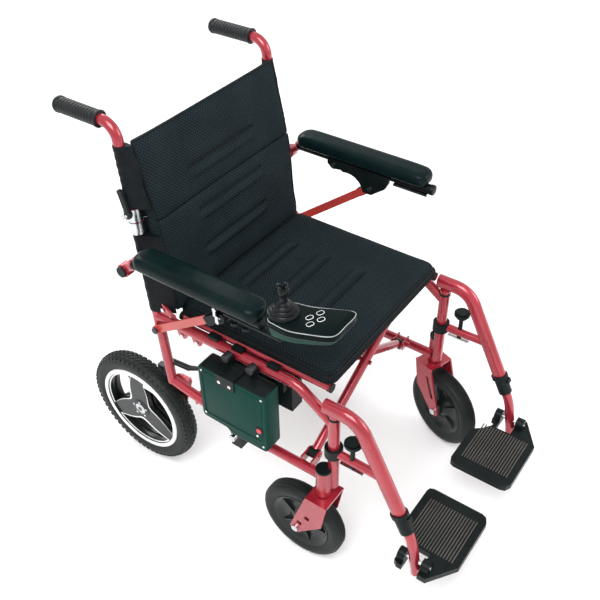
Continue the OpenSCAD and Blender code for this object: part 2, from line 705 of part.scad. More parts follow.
// ---- joystick ---------------------------------------------------------------------------------
module case_outline() {
    translate(stick) circle(33);
    polygon([[-301, -182], [-306, -200], [-306, -229], [-279, -293], [-266, -303], [-208, -303],
             [-199, -293], [-232, -220], [-240, -190], [-272, -170]]);
}
button_grid = [[-258, -240], [-237.5, -248.5], [-271.5, -250.5], [-251, -259]];
module button_shape(grow) {
    rotate(-22) {
        for (s = [-1, 1]) translate([s * 2.4, 0]) circle(3.6 + grow);
        square([4.8, 7.2 + 2 * grow], center = true);
    }
}
module joystick_case() {
    color(BLACK) {
        difference() {
            union() {
                translate([0, 0, case_top - 14]) linear_extrude(14) case_outline();
                hull() {
                    translate([0, 0, case_top - 15]) linear_extrude(1) case_outline($fn = 32);
                    translate([-262, -232, case_top - 44]) linear_extrude(1)
                        polygon([[-30, 50], [-30, -12], [20, -54], [44, -50], [18, 22], [0, 52]]);
                }
            }
            // gimbal well
            translate([stick[0], stick[1], case_top - 26]) cylinder(h = 40, r = 23);
            for (b = button_grid) translate([b[0], b[1], case_top - 5]) linear_extrude(8) button_shape(gap);
        }
        // mounting bar under the rail and its two thumb screws
        box([-285, -196, 645.4], [-269, -66, 650.4]);
        box([-285, -196, 650.4], [-269, -172, case_top - 43.9]);
        for (y = [-88, -114]) {
            translate([-arm_x, y, 634]) cylinder(h = 11.4, r = 3);
            translate([-arm_x, y, 628]) cylinder(h = 7, r = 8);
        }
    }
}
module joystick_gaiter() {
    color(BLACK) translate([stick[0], stick[1], case_top]) difference() {
        union() {
            for (i = [0 : 3]) translate([0, 0, 0.4 + 6 * i]) cylinder(h = 5, r = 28 - 5 * i);
            translate([0, 0, 0.4]) cylinder(h = 23, r1 = 22, r2 = 12.9);
            translate([0, 0, -14]) cylinder(h = 15, r = 12);
            // trunnions of the gimbal
            bar_x(-22, 22, 0, -ball_drop, 3);
        }
        translate([0, 0, -15]) cylinder(h = 15 - ball_drop, r = ball_r + 0.4);
        translate([0, 0, -ball_drop - 0.01]) cylinder(h = 24 + ball_drop, r1 = ball_r + 0.4, r2 = 12.3);
    }
}
module joystick_stick() {
    color(BLACK) translate([stick[0], stick[1], case_top + 26.8]) {
        translate([0, 0, -26.8 - ball_drop]) {
            sphere(ball_r);
            cylinder(h = 28 + ball_drop, r = 3);
        }
        cylinder(h = 14, r = 8);
        translate([0, 0, 12]) cylinder(h = 12, r = 10.5);
        for (i = [0 : 3]) rotate([0, 0, 90 * i]) translate([7, 0, 22]) cylinder(h = 12, r = 4);
        translate([0, 0, 22]) cylinder(h = 5, r = 8);
    }
}
module panel_button(i) {
    color("#9aa0a4") translate([button_grid[i][0], button_grid[i][1], case_top - 3])
        linear_extrude(4) button_shape(0);
}

placed() upper_frame(-1);  // upper_frame_right
placed() upper_frame(1);  // upper_frame_left
placed() lower_frame(-1);  // lower_frame_right
placed() lower_frame(1);  // lower_frame_left
placed() frame_plugs(-1);  // frame_plugs_right
placed() frame_plugs(1);  // frame_plugs_left
placed() motor(-1);  // motor_right
placed() motor(1);  // motor_left
placed() battery_box();
placed() power_button();
placed() controller_box();
placed() controller_cables();
placed() cross_brace_a();
placed() cross_brace_b();
placed() seat_cushion();
placed() back_pad_lower();
placed() back_pad_upper();
placed() back_tube(-1);  // back_tube_right
placed() back_tube(1);  // back_tube_left
placed() grip(-1);  // grip_right
placed() grip(1);  // grip_left
placed() back_lever(-1);  // back_lever_right
placed() back_lever(1);  // back_lever_left
placed() arm_rail(-1);  // arm_rail_right
placed() arm_rail(1);  // arm_rail_left
placed() arm_pad(-1);  // arm_pad_right
placed() arm_pad(1);  // arm_pad_left
placed() arm_bracket(-1);  // arm_bracket_right
placed() arm_bracket(1);  // arm_bracket_left
placed() arm_strut(-1);  // arm_strut_right
placed() arm_strut(1);  // arm_strut_left
placed() arm_latch(-1);  // arm_latch_right
placed() arm_latch(1);  // arm_latch_left
placed() hanger(-1);  // hanger_right
placed() hanger(1);  // hanger_left
placed() hanger_collar(-1);  // hanger_collar_right
placed() hanger_collar(1);  // hanger_collar_left
placed() latch_knob(-1);  // latch_knob_right
placed() latch_knob(1);  // latch_knob_left
placed() footrest_tube(-1);  // footrest_tube_right
placed() footrest_tube(1);  // footrest_tube_left
placed() footplate(-1);  // footplate_right
placed() footplate(1);  // footplate_left
placed() caster_fork(-1);  // caster_fork_right
placed() caster_fork(1);  // caster_fork_left
placed() caster_rim(-1);  // caster_rim_right
placed() caster_rim(1);  // caster_rim_left
placed() caster_tyre(-1);  // caster_tyre_right
placed() caster_tyre(1);  // caster_tyre_left
placed() rear_rim(-1);  // rear_rim_right
placed() rear_rim(1);  // rear_rim_left
placed() rear_tyre(-1);  // rear_tyre_right
placed() rear_tyre(1);  // rear_tyre_left
placed() joystick_case();
placed() joystick_gaiter();
placed() joystick_stick();
placed() panel_button(0);  // panel_button_1
placed() panel_button(1);  // panel_button_2
placed() panel_button(2);  // panel_button_3
placed() panel_button(3);  // panel_button_4
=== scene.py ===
import json
from math import atan2, ceil, cos, hypot, pi, radians, sin, tan

import bmesh
import bpy
import numpy as np
from mathutils import Matrix, Vector, noise
from mathutils.bvhtree import BVHTree

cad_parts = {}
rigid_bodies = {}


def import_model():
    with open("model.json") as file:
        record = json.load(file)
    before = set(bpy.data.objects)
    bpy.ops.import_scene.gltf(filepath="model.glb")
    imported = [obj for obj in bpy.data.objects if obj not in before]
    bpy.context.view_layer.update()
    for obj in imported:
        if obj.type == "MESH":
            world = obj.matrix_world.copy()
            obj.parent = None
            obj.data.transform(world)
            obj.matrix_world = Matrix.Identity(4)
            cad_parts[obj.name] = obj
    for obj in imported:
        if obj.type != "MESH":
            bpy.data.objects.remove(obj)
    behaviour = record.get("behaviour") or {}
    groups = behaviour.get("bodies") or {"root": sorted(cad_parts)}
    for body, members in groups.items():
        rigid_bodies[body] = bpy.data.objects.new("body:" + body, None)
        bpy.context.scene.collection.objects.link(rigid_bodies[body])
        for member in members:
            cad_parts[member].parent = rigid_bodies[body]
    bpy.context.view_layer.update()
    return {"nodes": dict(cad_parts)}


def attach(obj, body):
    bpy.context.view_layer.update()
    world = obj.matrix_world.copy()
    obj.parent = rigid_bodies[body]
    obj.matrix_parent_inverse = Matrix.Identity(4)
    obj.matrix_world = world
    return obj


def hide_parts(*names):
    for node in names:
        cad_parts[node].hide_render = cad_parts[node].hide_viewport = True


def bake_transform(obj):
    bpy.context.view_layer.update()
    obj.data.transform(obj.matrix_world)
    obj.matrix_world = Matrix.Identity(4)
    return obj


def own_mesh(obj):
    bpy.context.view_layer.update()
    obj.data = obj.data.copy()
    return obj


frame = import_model()

SHIFT_Y = 66.75  # mm; the design's own zero lies this far behind the frame's origin
SIDES = {"right": -1, "left": 1}
FRAME_X = 226.0
LEAN_ANGLE = 4.44  # degrees that the back posts lean back
LEAN = tan(radians(LEAN_ANGLE))
HINGE_Z = 724.0  # where the back folds
POST_TOP = 893.0
YAW = {"right": 0.0, "left": radians(160)}  # each caster's swivel, from trailing straight back


def at(x, y, z):
    """A design point in mm, as a point of the frame in metres."""
    return Vector((x / 1000, (y + SHIFT_Y) / 1000, z / 1000))


def post_y(z):
    """Where a back post's axis is at a height."""
    return 160 + (z - 300) * LEAN


# ---- materials ----
def material(name, colour, rough, metallic=0.0, coat=0.0, specular=0.5):
    m = bpy.data.materials.new(name)
    m.use_nodes = True
    values = {"Base Color": (*colour, 1), "Roughness": rough, "Metallic": metallic,
              "Coat Weight": coat, "Coat Roughness": 0.08, "Specular IOR Level": specular}
    for key, value in values.items():
        shader(m).inputs[key].default_value = value
    return m


def add(m, kind, **inputs):
    n = m.node_tree.nodes.new(kind)
    for key, value in inputs.items():
        n.inputs[key].default_value = value
    return n


def link(m, a, out, b, into):
    m.node_tree.links.new(a.outputs[out], b.inputs[into])


def shader(m):
    return m.node_tree.nodes["Principled BSDF"]


def vary(m, low, high, scale, rough=None):
    """Colour, and roughness where asked, drift between two values over the surface."""
    coord = add(m, "ShaderNodeTexCoord")
    tex = add(m, "ShaderNodeTexNoise", Scale=scale, Detail=4.0, Roughness=0.6)
    link(m, coord, "Object", tex, "Vector")
    ramp = add(m, "ShaderNodeValToRGB")
    ramp.color_ramp.elements[0].position = 0.3
    ramp.color_ramp.elements[1].position = 0.7
    ramp.color_ramp.elements[0].color = (*low, 1)
    ramp.color_ramp.elements[1].color = (*high, 1)
    link(m, tex, "Fac", ramp, "Fac")
    link(m, ramp, "Color", shader(m), "Base Color")
    if rough:
        span = add(m, "ShaderNodeMapRange")
        span.inputs["To Min"].default_value = rough[0]
        span.inputs["To Max"].default_value = rough[1]
        link(m, tex, "Fac", span, "Value")
        link(m, span, "Result", shader(m), "Roughness")


def grain(m, scale, strength, distance, kind="ShaderNodeTexNoise", out="Fac"):
    """A fine bump, from noise or cells."""
    coord = add(m, "ShaderNodeTexCoord")
    tex = add(m, kind, Scale=scale)
    if "Detail" in tex.inputs:
        tex.inputs["Detail"].default_value = 3.0
    link(m, coord, "Object", tex, "Vector")
    bump = add(m, "ShaderNodeBump", Strength=strength, Distance=distance)
    link(m, tex, out, bump, "Height")
    link(m, bump, "Normal", shader(m), "Normal")


def math_node(m, op, a, b=None):
    n = m.node_tree.nodes.new("ShaderNodeMath")
    n.operation = op
    for i, v in enumerate((a, b)):
        if v is None:
            continue
        if isinstance(v, (int, float)):
            n.inputs[i].default_value = v
        else:
            m.node_tree.links.new(v, n.inputs[i])
    return n.outputs[0]


def mesh_fabric(name, dark, light, plane):
    """Knitted spacer mesh: rows of small diamond cells, lighter on their ridges."""
    pitch = 7.6  # mm from cell to cell along a row
    m = material(name, dark, 0.8, specular=0.08)
    coord = add(m, "ShaderNodeTexCoord")
    xyz = add(m, "ShaderNodeSeparateXYZ")
    link(m, coord, "Object", xyz, "Vector")
    u, v = (xyz.outputs[i] for i in plane)
    k = 2 * pi / (pitch / 1000)
    a = math_node(m, "ADD", u, v)
    b = math_node(m, "SUBTRACT", u, v)
    cell = math_node(m, "MULTIPLY", math_node(m, "SINE", math_node(m, "MULTIPLY", a, k * 0.5)),
                     math_node(m, "SINE", math_node(m, "MULTIPLY", b, k * 0.5)))
    cell = math_node(m, "ABSOLUTE", cell)
    fine = add(m, "ShaderNodeTexNoise", Scale=900.0, Detail=2.0)
    link(m, coord, "Object", fine, "Vector")
    broad = add(m, "ShaderNodeTexNoise", Scale=14.0, Detail=3.0)
    link(m, coord, "Object", broad, "Vector")
    height = math_node(m, "ADD", cell, math_node(m, "MULTIPLY", fine.outputs["Fac"], 0.35))
    ramp = add(m, "ShaderNodeValToRGB")
    ramp.color_ramp.elements[0].color = (*dark, 1)
    ramp.color_ramp.elements[1].color = (*light, 1)
    tone = math_node(m, "ADD", math_node(m, "MULTIPLY", cell, 0.7),
                     math_node(m, "MULTIPLY", broad.outputs["Fac"], 0.35))
    m.node_tree.links.new(tone, ramp.inputs["Fac"])
    link(m, ramp, "Color", shader(m), "Base Color")
    bump = add(m, "ShaderNodeBump", Strength=0.8, Distance=0.0014)
    m.node_tree.links.new(height, bump.inputs["Height"])
    link(m, bump, "Normal", shader(m), "Normal")
    return m


RED = material("frame_red_paint", (0.34, 0.016, 0.030), 0.30, metallic=0.35, coat=0.7)
vary(RED, (0.29, 0.012, 0.024), (0.39, 0.021, 0.038), 9.0, rough=(0.22, 0.34))
grain(RED, 700.0, 0.12, 0.0002)
ORANGE = material("strut_red_paint", (0.45, 0.045, 0.038), 0.34, metallic=0.1, coat=0.15)
vary(ORANGE, (0.40, 0.036, 0.030), (0.50, 0.056, 0.046), 12.0, rough=(0.28, 0.42))
grain(ORANGE, 700.0, 0.12, 0.0002)
PLASTIC = material("moulded_black", (0.004, 0.007, 0.007), 0.36, specular=0.14)
vary(PLASTIC, (0.003, 0.005, 0.005), (0.007, 0.011, 0.011), 20.0, rough=(0.30, 0.44))
grain(PLASTIC, 1500.0, 0.25, 0.0003)
# the battery case is black: its green tint is a painted reflection
CASE = material("case_black_painted_green_reflection", (0.004, 0.013, 0.011), 0.36, specular=0.07)
vary(CASE, (0.002, 0.026, 0.020), (0.004, 0.044, 0.034), 6.0, rough=(0.31, 0.43))
grain(CASE, 1800.0, 0.22, 0.0003)
# the joystick case's sides are black: their green is a painted reflection
CASE_SIDE = material("case_side_painted_green_reflection", (0.006, 0.040, 0.028), 0.3, specular=0.06)
vary(CASE_SIDE, (0.004, 0.030, 0.022), (0.009, 0.052, 0.037), 8.0, rough=(0.26, 0.36))
grain(CASE_SIDE, 1800.0, 0.2, 0.0003)
DECK = material("deck_black", (0.002, 0.005, 0.005), 0.4, specular=0.05)
vary(DECK, (0.001, 0.004, 0.004), (0.003, 0.007, 0.007), 9.0, rough=(0.34, 0.46))
grain(DECK, 1800.0, 0.2, 0.0003)
BOOT = material("boot_rubber", (0.004, 0.006, 0.007), 0.3, specular=0.2)
vary(BOOT, (0.003, 0.004, 0.005), (0.006, 0.008, 0.009), 25.0, rough=(0.24, 0.34))
grain(BOOT, 900.0, 0.2, 0.0002)
# the pad's skin is black: its green-blue tint is a painted reflection
PAD = material("arm_pad_skin", (0.003, 0.009, 0.010), 0.28, specular=0.08)
vary(PAD, (0.0020, 0.0068, 0.0074), (0.004, 0.0118, 0.0126), 18.0, rough=(0.20, 0.30))
grain(PAD, 520.0, 0.25, 0.0004, kind="ShaderNodeTexVoronoi", out="Distance")
RUBBER = material("black_rubber", (0.010, 0.011, 0.013), 0.5, specular=0.3)
vary(RUBBER, (0.003, 0.004, 0.005), (0.008, 0.010, 0.011), 25.0, rough=(0.38, 0.52))
grain(RUBBER, 900.0, 0.3, 0.0003)
TYRE = material("tyre_rubber", (0.009, 0.011, 0.012), 0.58, specular=0.28)
vary(TYRE, (0.003, 0.005, 0.005), (0.008, 0.011, 0.011), 30.0, rough=(0.45, 0.62))
grain(TYRE, 1100.0, 0.4, 0.0003)
STEEL = material("bright_steel", (0.62, 0.64, 0.66), 0.22, metallic=1.0)
vary(STEEL, (0.52, 0.54, 0.56), (0.72, 0.74, 0.76), 40.0, rough=(0.16, 0.30))
grain(STEEL, 1200.0, 0.1, 0.0001)
DARK_METAL = material("dark_metal", (0.035, 0.037, 0.040), 0.4, metallic=0.6)
vary(DARK_METAL, (0.025, 0.027, 0.030), (0.05, 0.053, 0.057), 25.0, rough=(0.33, 0.5))
grain(DARK_METAL, 900.0, 0.2, 0.0002)
RIM = material("rim_black", (0.012, 0.015, 0.016), 0.32, coat=0.12, specular=0.3)
vary(RIM, (0.004, 0.006, 0.006), (0.009, 0.012, 0.012), 16.0, rough=(0.25, 0.38))
grain(RIM, 900.0, 0.15, 0.0002)
WHITE = material("rim_white_line", (0.82, 0.82, 0.82), 0.35)
vary(WHITE, (0.76, 0.77, 0.77), (0.88, 0.88, 0.87), 30.0, rough=(0.3, 0.42))
grain(WHITE, 900.0, 0.1, 0.0002)
BUTTON_RED = material("button_red", (0.55, 0.02, 0.03), 0.3, coat=0.3)
vary(BUTTON_RED, (0.48, 0.015, 0.025), (0.62, 0.03, 0.04), 60.0, rough=(0.25, 0.36))
grain(BUTTON_RED, 900.0, 0.1, 0.0002)
# light grey for the joystick case's top edge: a painted highlight
HIGHLIGHT_GREY = material("painted_highlight_grey", (0.30, 0.32, 0.33), 0.35, metallic=0.2)
vary(HIGHLIGHT_GREY, (0.24, 0.26, 0.27), (0.36, 0.38, 0.39), 60.0, rough=(0.3, 0.42))
grain(HIGHLIGHT_GREY, 900.0, 0.1, 0.0002)
# the ridges are black rubber: their lighter tops are a painted highlight
RIDGE_HIGHLIGHT = material("footplate_ridge_painted_highlight", (0.07, 0.062, 0.056), 0.45, specular=0.4)
vary(RIDGE_HIGHLIGHT, (0.055, 0.048, 0.043), (0.09, 0.08, 0.072), 30.0, rough=(0.38, 0.55))
grain(RIDGE_HIGHLIGHT, 1500.0, 0.25, 0.0003)
MESH_DARK, MESH_LIGHT = (0.0016, 0.004, 0.005), (0.018, 0.029, 0.034)
FABRIC_SEAT = mesh_fabric("seat_mesh_fabric", MESH_DARK, MESH_LIGHT, (0, 1))
FABRIC_BACK = mesh_fabric("back_mesh_fabric", MESH_DARK, MESH_LIGHT, (0, 2))
PIPING = material("piping_fabric", (0.003, 0.005, 0.007), 0.6, specular=0.15)
vary(PIPING, (0.0012, 0.0024, 0.0034), (0.0045, 0.007, 0.009), 60.0, rough=(0.5, 0.65))
grain(PIPING, 1600.0, 0.5, 0.0003)


def paint(node, mat, *rules):
    """Materials of a CAD node: mat, or a rule's own where its test holds at a face's middle, in design mm."""
    data = frame["nodes"][node].data
    data.materials.clear()
    data.materials.append(mat)
    for other, _ in rules:
        data.materials.append(other)
    for face in data.polygons:
        face.material_index = 0
        c = face.center
        p = (c.x * 1000, c.y * 1000 - SHIFT_Y, c.z * 1000)
        for i, (_, test) in enumerate(rules):
            if test(p):
                face.material_index = i + 1


# ---- mesh helpers ----
def new_object(name, data):
    ob = bpy.data.objects.new(name, data)
    bpy.context.scene.collection.objects.link(ob)
    return ob


def new_mesh(name, verts, faces, mats, face_mats=None, smooth=True):
    """An object from points in the frame's metres."""
    data = bpy.data.meshes.new(name)
    data.from_pydata([tuple(v) for v in verts], [], faces)
    data.validate()
    ob = new_object(name, data)
    for m in mats if isinstance(mats, list) else [mats]:
        data.materials.append(m)
    if face_mats is not None:
        for p, i in zip(data.polygons, face_mats):
            p.material_index = i
    for p in data.polygons:
        p.use_smooth = smooth
    bm = bmesh.new()
    bm.from_mesh(data)
    bmesh.ops.recalc_face_normals(bm, faces=bm.faces)
    bm.to_mesh(data)
    bm.free()
    return ob


def basis(direction):
    """Three directions at right angles, the given one last."""
    w = Vector(direction).normalized()
    hint = Vector((0, 0, 1))
    if abs(w.dot(hint)) > 0.95:
        hint = Vector((0, 1, 0))
    u = w.cross(hint).normalized()
    return u, w.cross(u), w


def lathe(name, origin, axis, profile, mats, seg, mat_of=None):
    """Turns (radius, height) points in mm about an axis. Radius 0 closes an end."""
    u, v, w = basis(axis)
    verts, faces, rows, face_mats = [], [], [], []
    for r, h in profile:
        if r < 1e-6:
            rows.append([len(verts)])
            verts.append(origin + w * (h / 1000))
            continue
        rows.append(range(len(verts), len(verts) + seg))
        for k in range(seg):
            a = 2 * pi * k / seg
            verts.append(origin + (u * cos(a) + v * sin(a)) * (r / 1000) + w * (h / 1000))
    for j in range(len(rows) - 1):
        a, b = rows[j], rows[j + 1]
        for k in range(seg):
            n = (k + 1) % seg
            if len(a) == 1 and len(b) == 1:
                continue
            if len(a) == 1:
                faces.append((a[0], b[n], b[k]))
            elif len(b) == 1:
                faces.append((a[k], a[n], b[0]))
            else:
                faces.append((a[k], a[n], b[n], b[k]))
            face_mats.append(mat_of(j) if mat_of else 0)
    ob = new_mesh(name, verts, faces, mats, face_mats)
    sharp(ob)
    return ob


def sharp(ob, angle=38):
    """Smooth shading with crisp edges above an angle."""
    bm = bmesh.new()
    bm.from_mesh(ob.data)
    for e in bm.edges:
        e.smooth = not (len(e.link_faces) == 2 and e.calc_face_angle(0) > radians(angle))
    for f in bm.faces:
        f.smooth = True
    bm.to_mesh(ob.data)
    bm.free()


def bevelled(node, width):
    """Rounds the edges of a CAD node's look."""
    b = frame["nodes"][node].modifiers.new("bevel", "BEVEL")
    b.width = width / 1000
    b.segments = 3
    b.limit_method = "ANGLE"
    b.angle_limit = radians(30)


def smooth_loop(points, steps):
    """Closed Catmull-Rom curve through points."""
    n = len(points)
    out = []
    for i in range(n):
        p = [points[(i + k) % n] for k in (-1, 0, 1, 2)]
        for s in range(steps):
            t = s / steps
            out.append(0.5 * ((2 * p[1]) + (p[2] - p[0]) * t + (2 * p[0] - 5 * p[1] + 4 * p[2] - p[3]) * t * t
                              + (3 * p[1] - p[0] - 3 * p[2] + p[3]) * t ** 3))
    return out


def tube(name, points, radius, mats, closed=False, seg=8):
    """A round cord along points in metres; radius in mm."""
    n = len(points)
    verts, faces = [], []
    normal = None
    for i, p in enumerate(points):
        before = points[(i - 1) % n] if closed or i else points[0]
        after = points[(i + 1) % n] if closed or i < n - 1 else points[-1]
        d = (after - before).normalized()
        if normal is None:
            normal = basis(d)[0]
        normal = (normal - d * normal.dot(d)).normalized()
        other = d.cross(normal)
        for k in range(seg):
            a = 2 * pi * k / seg
            verts.append(p + (normal * cos(a) + other * sin(a)) * (radius / 1000))
    for i in range(n if closed else n - 1):
        j = (i + 1) % n
        for k in range(seg):
            m = (k + 1) % seg
            faces.append((i * seg + k, i * seg + m, j * seg + m, j * seg + k))
    if not closed:
        faces.append(tuple(range(seg)))
        faces.append(tuple(range((n - 1) * seg, n * seg)))
    return new_mesh(name, verts, faces, mats)


def stand_for(ob, node, body):
    """The piece rides on the body and takes the node's place."""
    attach(ob, body)
    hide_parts(node)


def join(objects, name):
    """One object from several, each keeping its materials."""
    bpy.context.view_layer.update()
    for o in bpy.context.view_layer.objects:
        o.select_set(False)
    for o in objects:
        o.select_set(True)
    bpy.context.view_layer.objects.active = objects[0]
    bpy.ops.object.join()
    objects[0].name = name
    objects[0].data.name = name
    return objects[0]


def loft(name, outlines, mats, smooth=True):
    """Skins a row of outlines with equal numbers of points, and closes its two ends."""
    n = len(outlines[0])
    verts = [p for o in outlines for p in o]
    faces = []
    for i in range(len(outlines) - 1):
        for k in range(n):
            m = (k + 1) % n
            faces.append((i * n + k, i * n + m, (i + 1) * n + m, (i + 1) * n + k))
    faces.append(tuple(range(n)))
    faces.append(tuple(range((len(outlines) - 1) * n, len(outlines) * n)))
    return new_mesh(name, verts, faces, mats, smooth=smooth)


def round_rect(x0, x1, y0, y1, r, seg=6):
    """Points round a rectangle with rounded corners, in design mm."""
    pts = []
    centres = ((x1 - r, y1 - r, 0), (x0 + r, y1 - r, 90), (x0 + r, y0 + r, 180), (x1 - r, y0 + r, 270))
    for cx, cy, a0 in centres:
        for k in range(seg + 1):
            a = radians(a0 + 90 * k / seg)
            pts.append((cx + r * cos(a), cy + r * sin(a)))
    return pts


def apply_all(ob):
    """Puts the modifiers' result into the mesh."""
    bpy.context.view_layer.update()
    graph = bpy.context.evaluated_depsgraph_get()
    data = bpy.data.meshes.new_from_object(ob.evaluated_get(graph))
    ob.modifiers.clear()
    ob.data = data


def inflate(ob, voxel, pressure, cap):
    """Remesh and swell a pad by cloth simulation; no point moves further than cap mm."""
    frames = 20
    r = ob.modifiers.new("remesh", "REMESH")
    r.mode = "VOXEL"
    r.voxel_size = voxel / 1000
    apply_all(ob)
    rest = np.array([v.co[:] for v in ob.data.vertices])
    scene = bpy.context.scene
    c = ob.modifiers.new("cloth", "CLOTH")
    cloth = c.settings
    cloth.use_pressure = True
    cloth.uniform_pressure_force = pressure
    cloth.effector_weights.gravity = 0
    cloth.quality = 5
    cloth.tension_stiffness = 25
    cloth.compression_stiffness = 25
    cloth.shear_stiffness = 10
    cloth.bending_stiffness = 2
    c.point_cache.frame_start = 1
    c.point_cache.frame_end = frames
    for f in range(1, frames + 1):
        scene.frame_set(f)
        bpy.context.view_layer.update()
    apply_all(ob)
    scene.frame_set(1)
    moved = np.array([v.co[:] for v in ob.data.vertices]) - rest
    length = np.linalg.norm(moved, axis=1, keepdims=True)
    moved *= np.minimum(1.0, cap / 1000 / np.maximum(length, 1e-9))
    ob.data.vertices.foreach_set("co", (rest + moved).ravel())
    ob.data.update()


def relax(ob, rounds):
    """Evens out the steps that remeshing leaves."""
    bm = bmesh.new()
    bm.from_mesh(ob.data)
    for _ in range(rounds):
        bmesh.ops.smooth_vert(bm, verts=bm.verts, factor=0.5,
                              use_axis_x=True, use_axis_y=True, use_axis_z=True)
    bm.to_mesh(ob.data)
    bm.free()


def move_points(ob, how):
    """Moves each point, in design mm, to where a function sends it."""
    for v in ob.data.vertices:
        p = Vector((v.co.x * 1000, v.co.y * 1000 - SHIFT_Y, v.co.z * 1000))
        v.co = at(*how(p))
    ob.data.update()


def laid_on(ob, line):
    """Moves a line's points onto the nearest place of a surface, so that piping never floats."""
    lift = 0.6  # mm
    bm = bmesh.new()
    bm.from_mesh(ob.data)
    tree = BVHTree.FromBMesh(bm)
    bm.free()
    out = []
    for p in line:
        place, normal, _, _ = tree.find_nearest(p)
        out.append(place + normal * (lift / 1000))
    for _ in range(2):
        out = [out[0]] + [(a + b * 2 + c) / 4 for a, b, c in zip(out, out[1:], out[2:])] + [out[-1]]
    return out


def channel_faces(ob, axis, channels, low, high):
    """The sewn line at the bottom of each channel takes the pad's second, darker material: painted shade in
    the groove.
    """
    for f in ob.data.polygons:
        c = (f.center.x * 1000, f.center.y * 1000 - SHIFT_Y, f.center.z * 1000)
        if low < c[0] < high and f.normal[3 - axis] * (1 if axis == 1 else -1) > 0.2:
            if any(abs(c[axis] - ch) < 1.7 for ch in channels):
                f.material_index = 1


def subdivide(ob, levels=1):
    """Subdivides a mesh for good and shades it smooth."""
    s = ob.modifiers.new("subdivision", "SUBSURF")
    s.levels = levels
    s.render_levels = levels
    apply_all(ob)
    for p in ob.data.polygons:
        p.use_smooth = True


def dense(line):
    """The same line with no two points further apart than a step."""
    step = 0.006  # metres
    out = []
    for a, b in zip(line, line[1:]):
        n = max(1, ceil((b - a).length / step))
        out += [a.lerp(b, k / n) for k in range(n)]
    return out + [line[-1]]


def dip(d, width):
    """A sewn channel's cross-section: 1 at its middle, and 0 past its width."""
    t = min(1.0, abs(d) / width)
    return (1 - t * t) ** 2


def between(x, low, high, fade):
    """1 inside a range, fading out over its ends."""
    return min(1.0, max(0.0, (x - low) / fade)) * min(1.0, max(0.0, (high - x) / fade))


# ---- seat ----
SEAT_X, SEAT_Y0, SEAT_Y1 = 212.0, -257.0, 123.0
SEAT_BOTTOM, SEAT_TOP = 508.6, 535.0
SEAT_CHANNELS = (38, -50, -141)


def seat_outline(inset, z, seg=8):
    """The seat's outline from above, drawn in by the inset, at a height."""
    line = round_rect(-SEAT_X + inset, SEAT_X - inset, SEAT_Y0 + inset, SEAT_Y1 - inset, 20, seg)
    return [at(x, y, z) for x, y in line]


def make_seat():
    rings = ((SEAT_BOTTOM + 0.5, 9), (SEAT_BOTTOM + 3, 3.5), (SEAT_BOTTOM + 10, 1.5), (SEAT_TOP - 9, 1.5),
             (SEAT_TOP - 3, 4), (SEAT_TOP, 11))
    ob = loft("seat_pad", [seat_outline(inset, z, 6) for z, inset in rings], [FABRIC_SEAT, PIPING])
    inflate(ob, voxel=5.0, pressure=4.0, cap=4.0)
    relax(ob, 3)

    def shape(p):
        """Crowns the top, sinks its channels and hem seam, and draws the sides in a little."""
        u = p.x / SEAT_X
        v = (p.y - (SEAT_Y0 + SEAT_Y1) / 2) / ((SEAT_Y1 - SEAT_Y0) / 2)
        top = min(1.0, max(0.0, (p.z - SEAT_BOTTOM - 6) / (SEAT_TOP - SEAT_BOTTOM - 10)))
        crown = (1 - u * u) * (1 - v ** 4) - 1.6
        edge = max(abs(u), abs(v))
        seam = dip((1 - edge) * 180 - 13, 4) * 1.1
        channels = swell = 0
        for c in SEAT_CHANNELS:
            channels += dip(p.y - c, 7) * between(p.x, -94, 94, 8) * 7.5
            puff = dip(p.y - c - 14, 14) * 5.0 + dip(p.y - c + 18, 16) * 1.5
            swell += puff * between(p.x, -96, 96, 20)
        wave = noise.noise(Vector((p.x / 60, p.y / 60, 3.1))) * 0.8
        z = p.z + top * (crown - channels - seam + swell + wave)
        side = 1 - min(1.0, abs(p.z - 522) / 14)
        pinch = 1 - side * 0.006 * (1 - min(1.0, abs(v)) ** 2)
        return (p.x * pinch, p.y, max(z, SEAT_BOTTOM))

    subdivide(ob)
    move_points(ob, shape)
    parts = [ob]
    for z, inset in ((SEAT_TOP - 4.5, 2.2), (SEAT_BOTTOM + 12, -0.4), (SEAT_BOTTOM + 5, 0.2)):
        line = seat_outline(inset, z)
        line = dense(line + line[:1])[:-1]
        parts.append(tube("seat_piping", laid_on(ob, line), 1.9, PIPING, closed=True))
    # the side band under the pad, down onto the seat rails, with its two welts
    band = ((506.2, 4.5), (507.2, 1.8), (510, 0.4), (516, 0.2), (520, 2.0), (522, 6.0))
    parts.append(loft("seat_band", [seat_outline(inset, z) for z, inset in band], PIPING))
    for z in (509.2, 516.4):
        parts.append(tube("seat_piping", seat_outline(0.2, z), 1.6, PIPING, closed=True))
    channel_faces(ob, 1, SEAT_CHANNELS, -93, 93)
    ob = join(parts, "seat_pad")
    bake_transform(ob)
    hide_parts("seat_cushion")


# ---- back ----
BACK_CHANNELS = (790, 697, 611)
BACK_X = 218.5


def pad_depth(z):
    """How far the back pad stands in front of the posts; it thins towards the top."""
    return 14 + 30 * sin(radians(90 * min(1, max(0, (POST_TOP - z) / 240))))


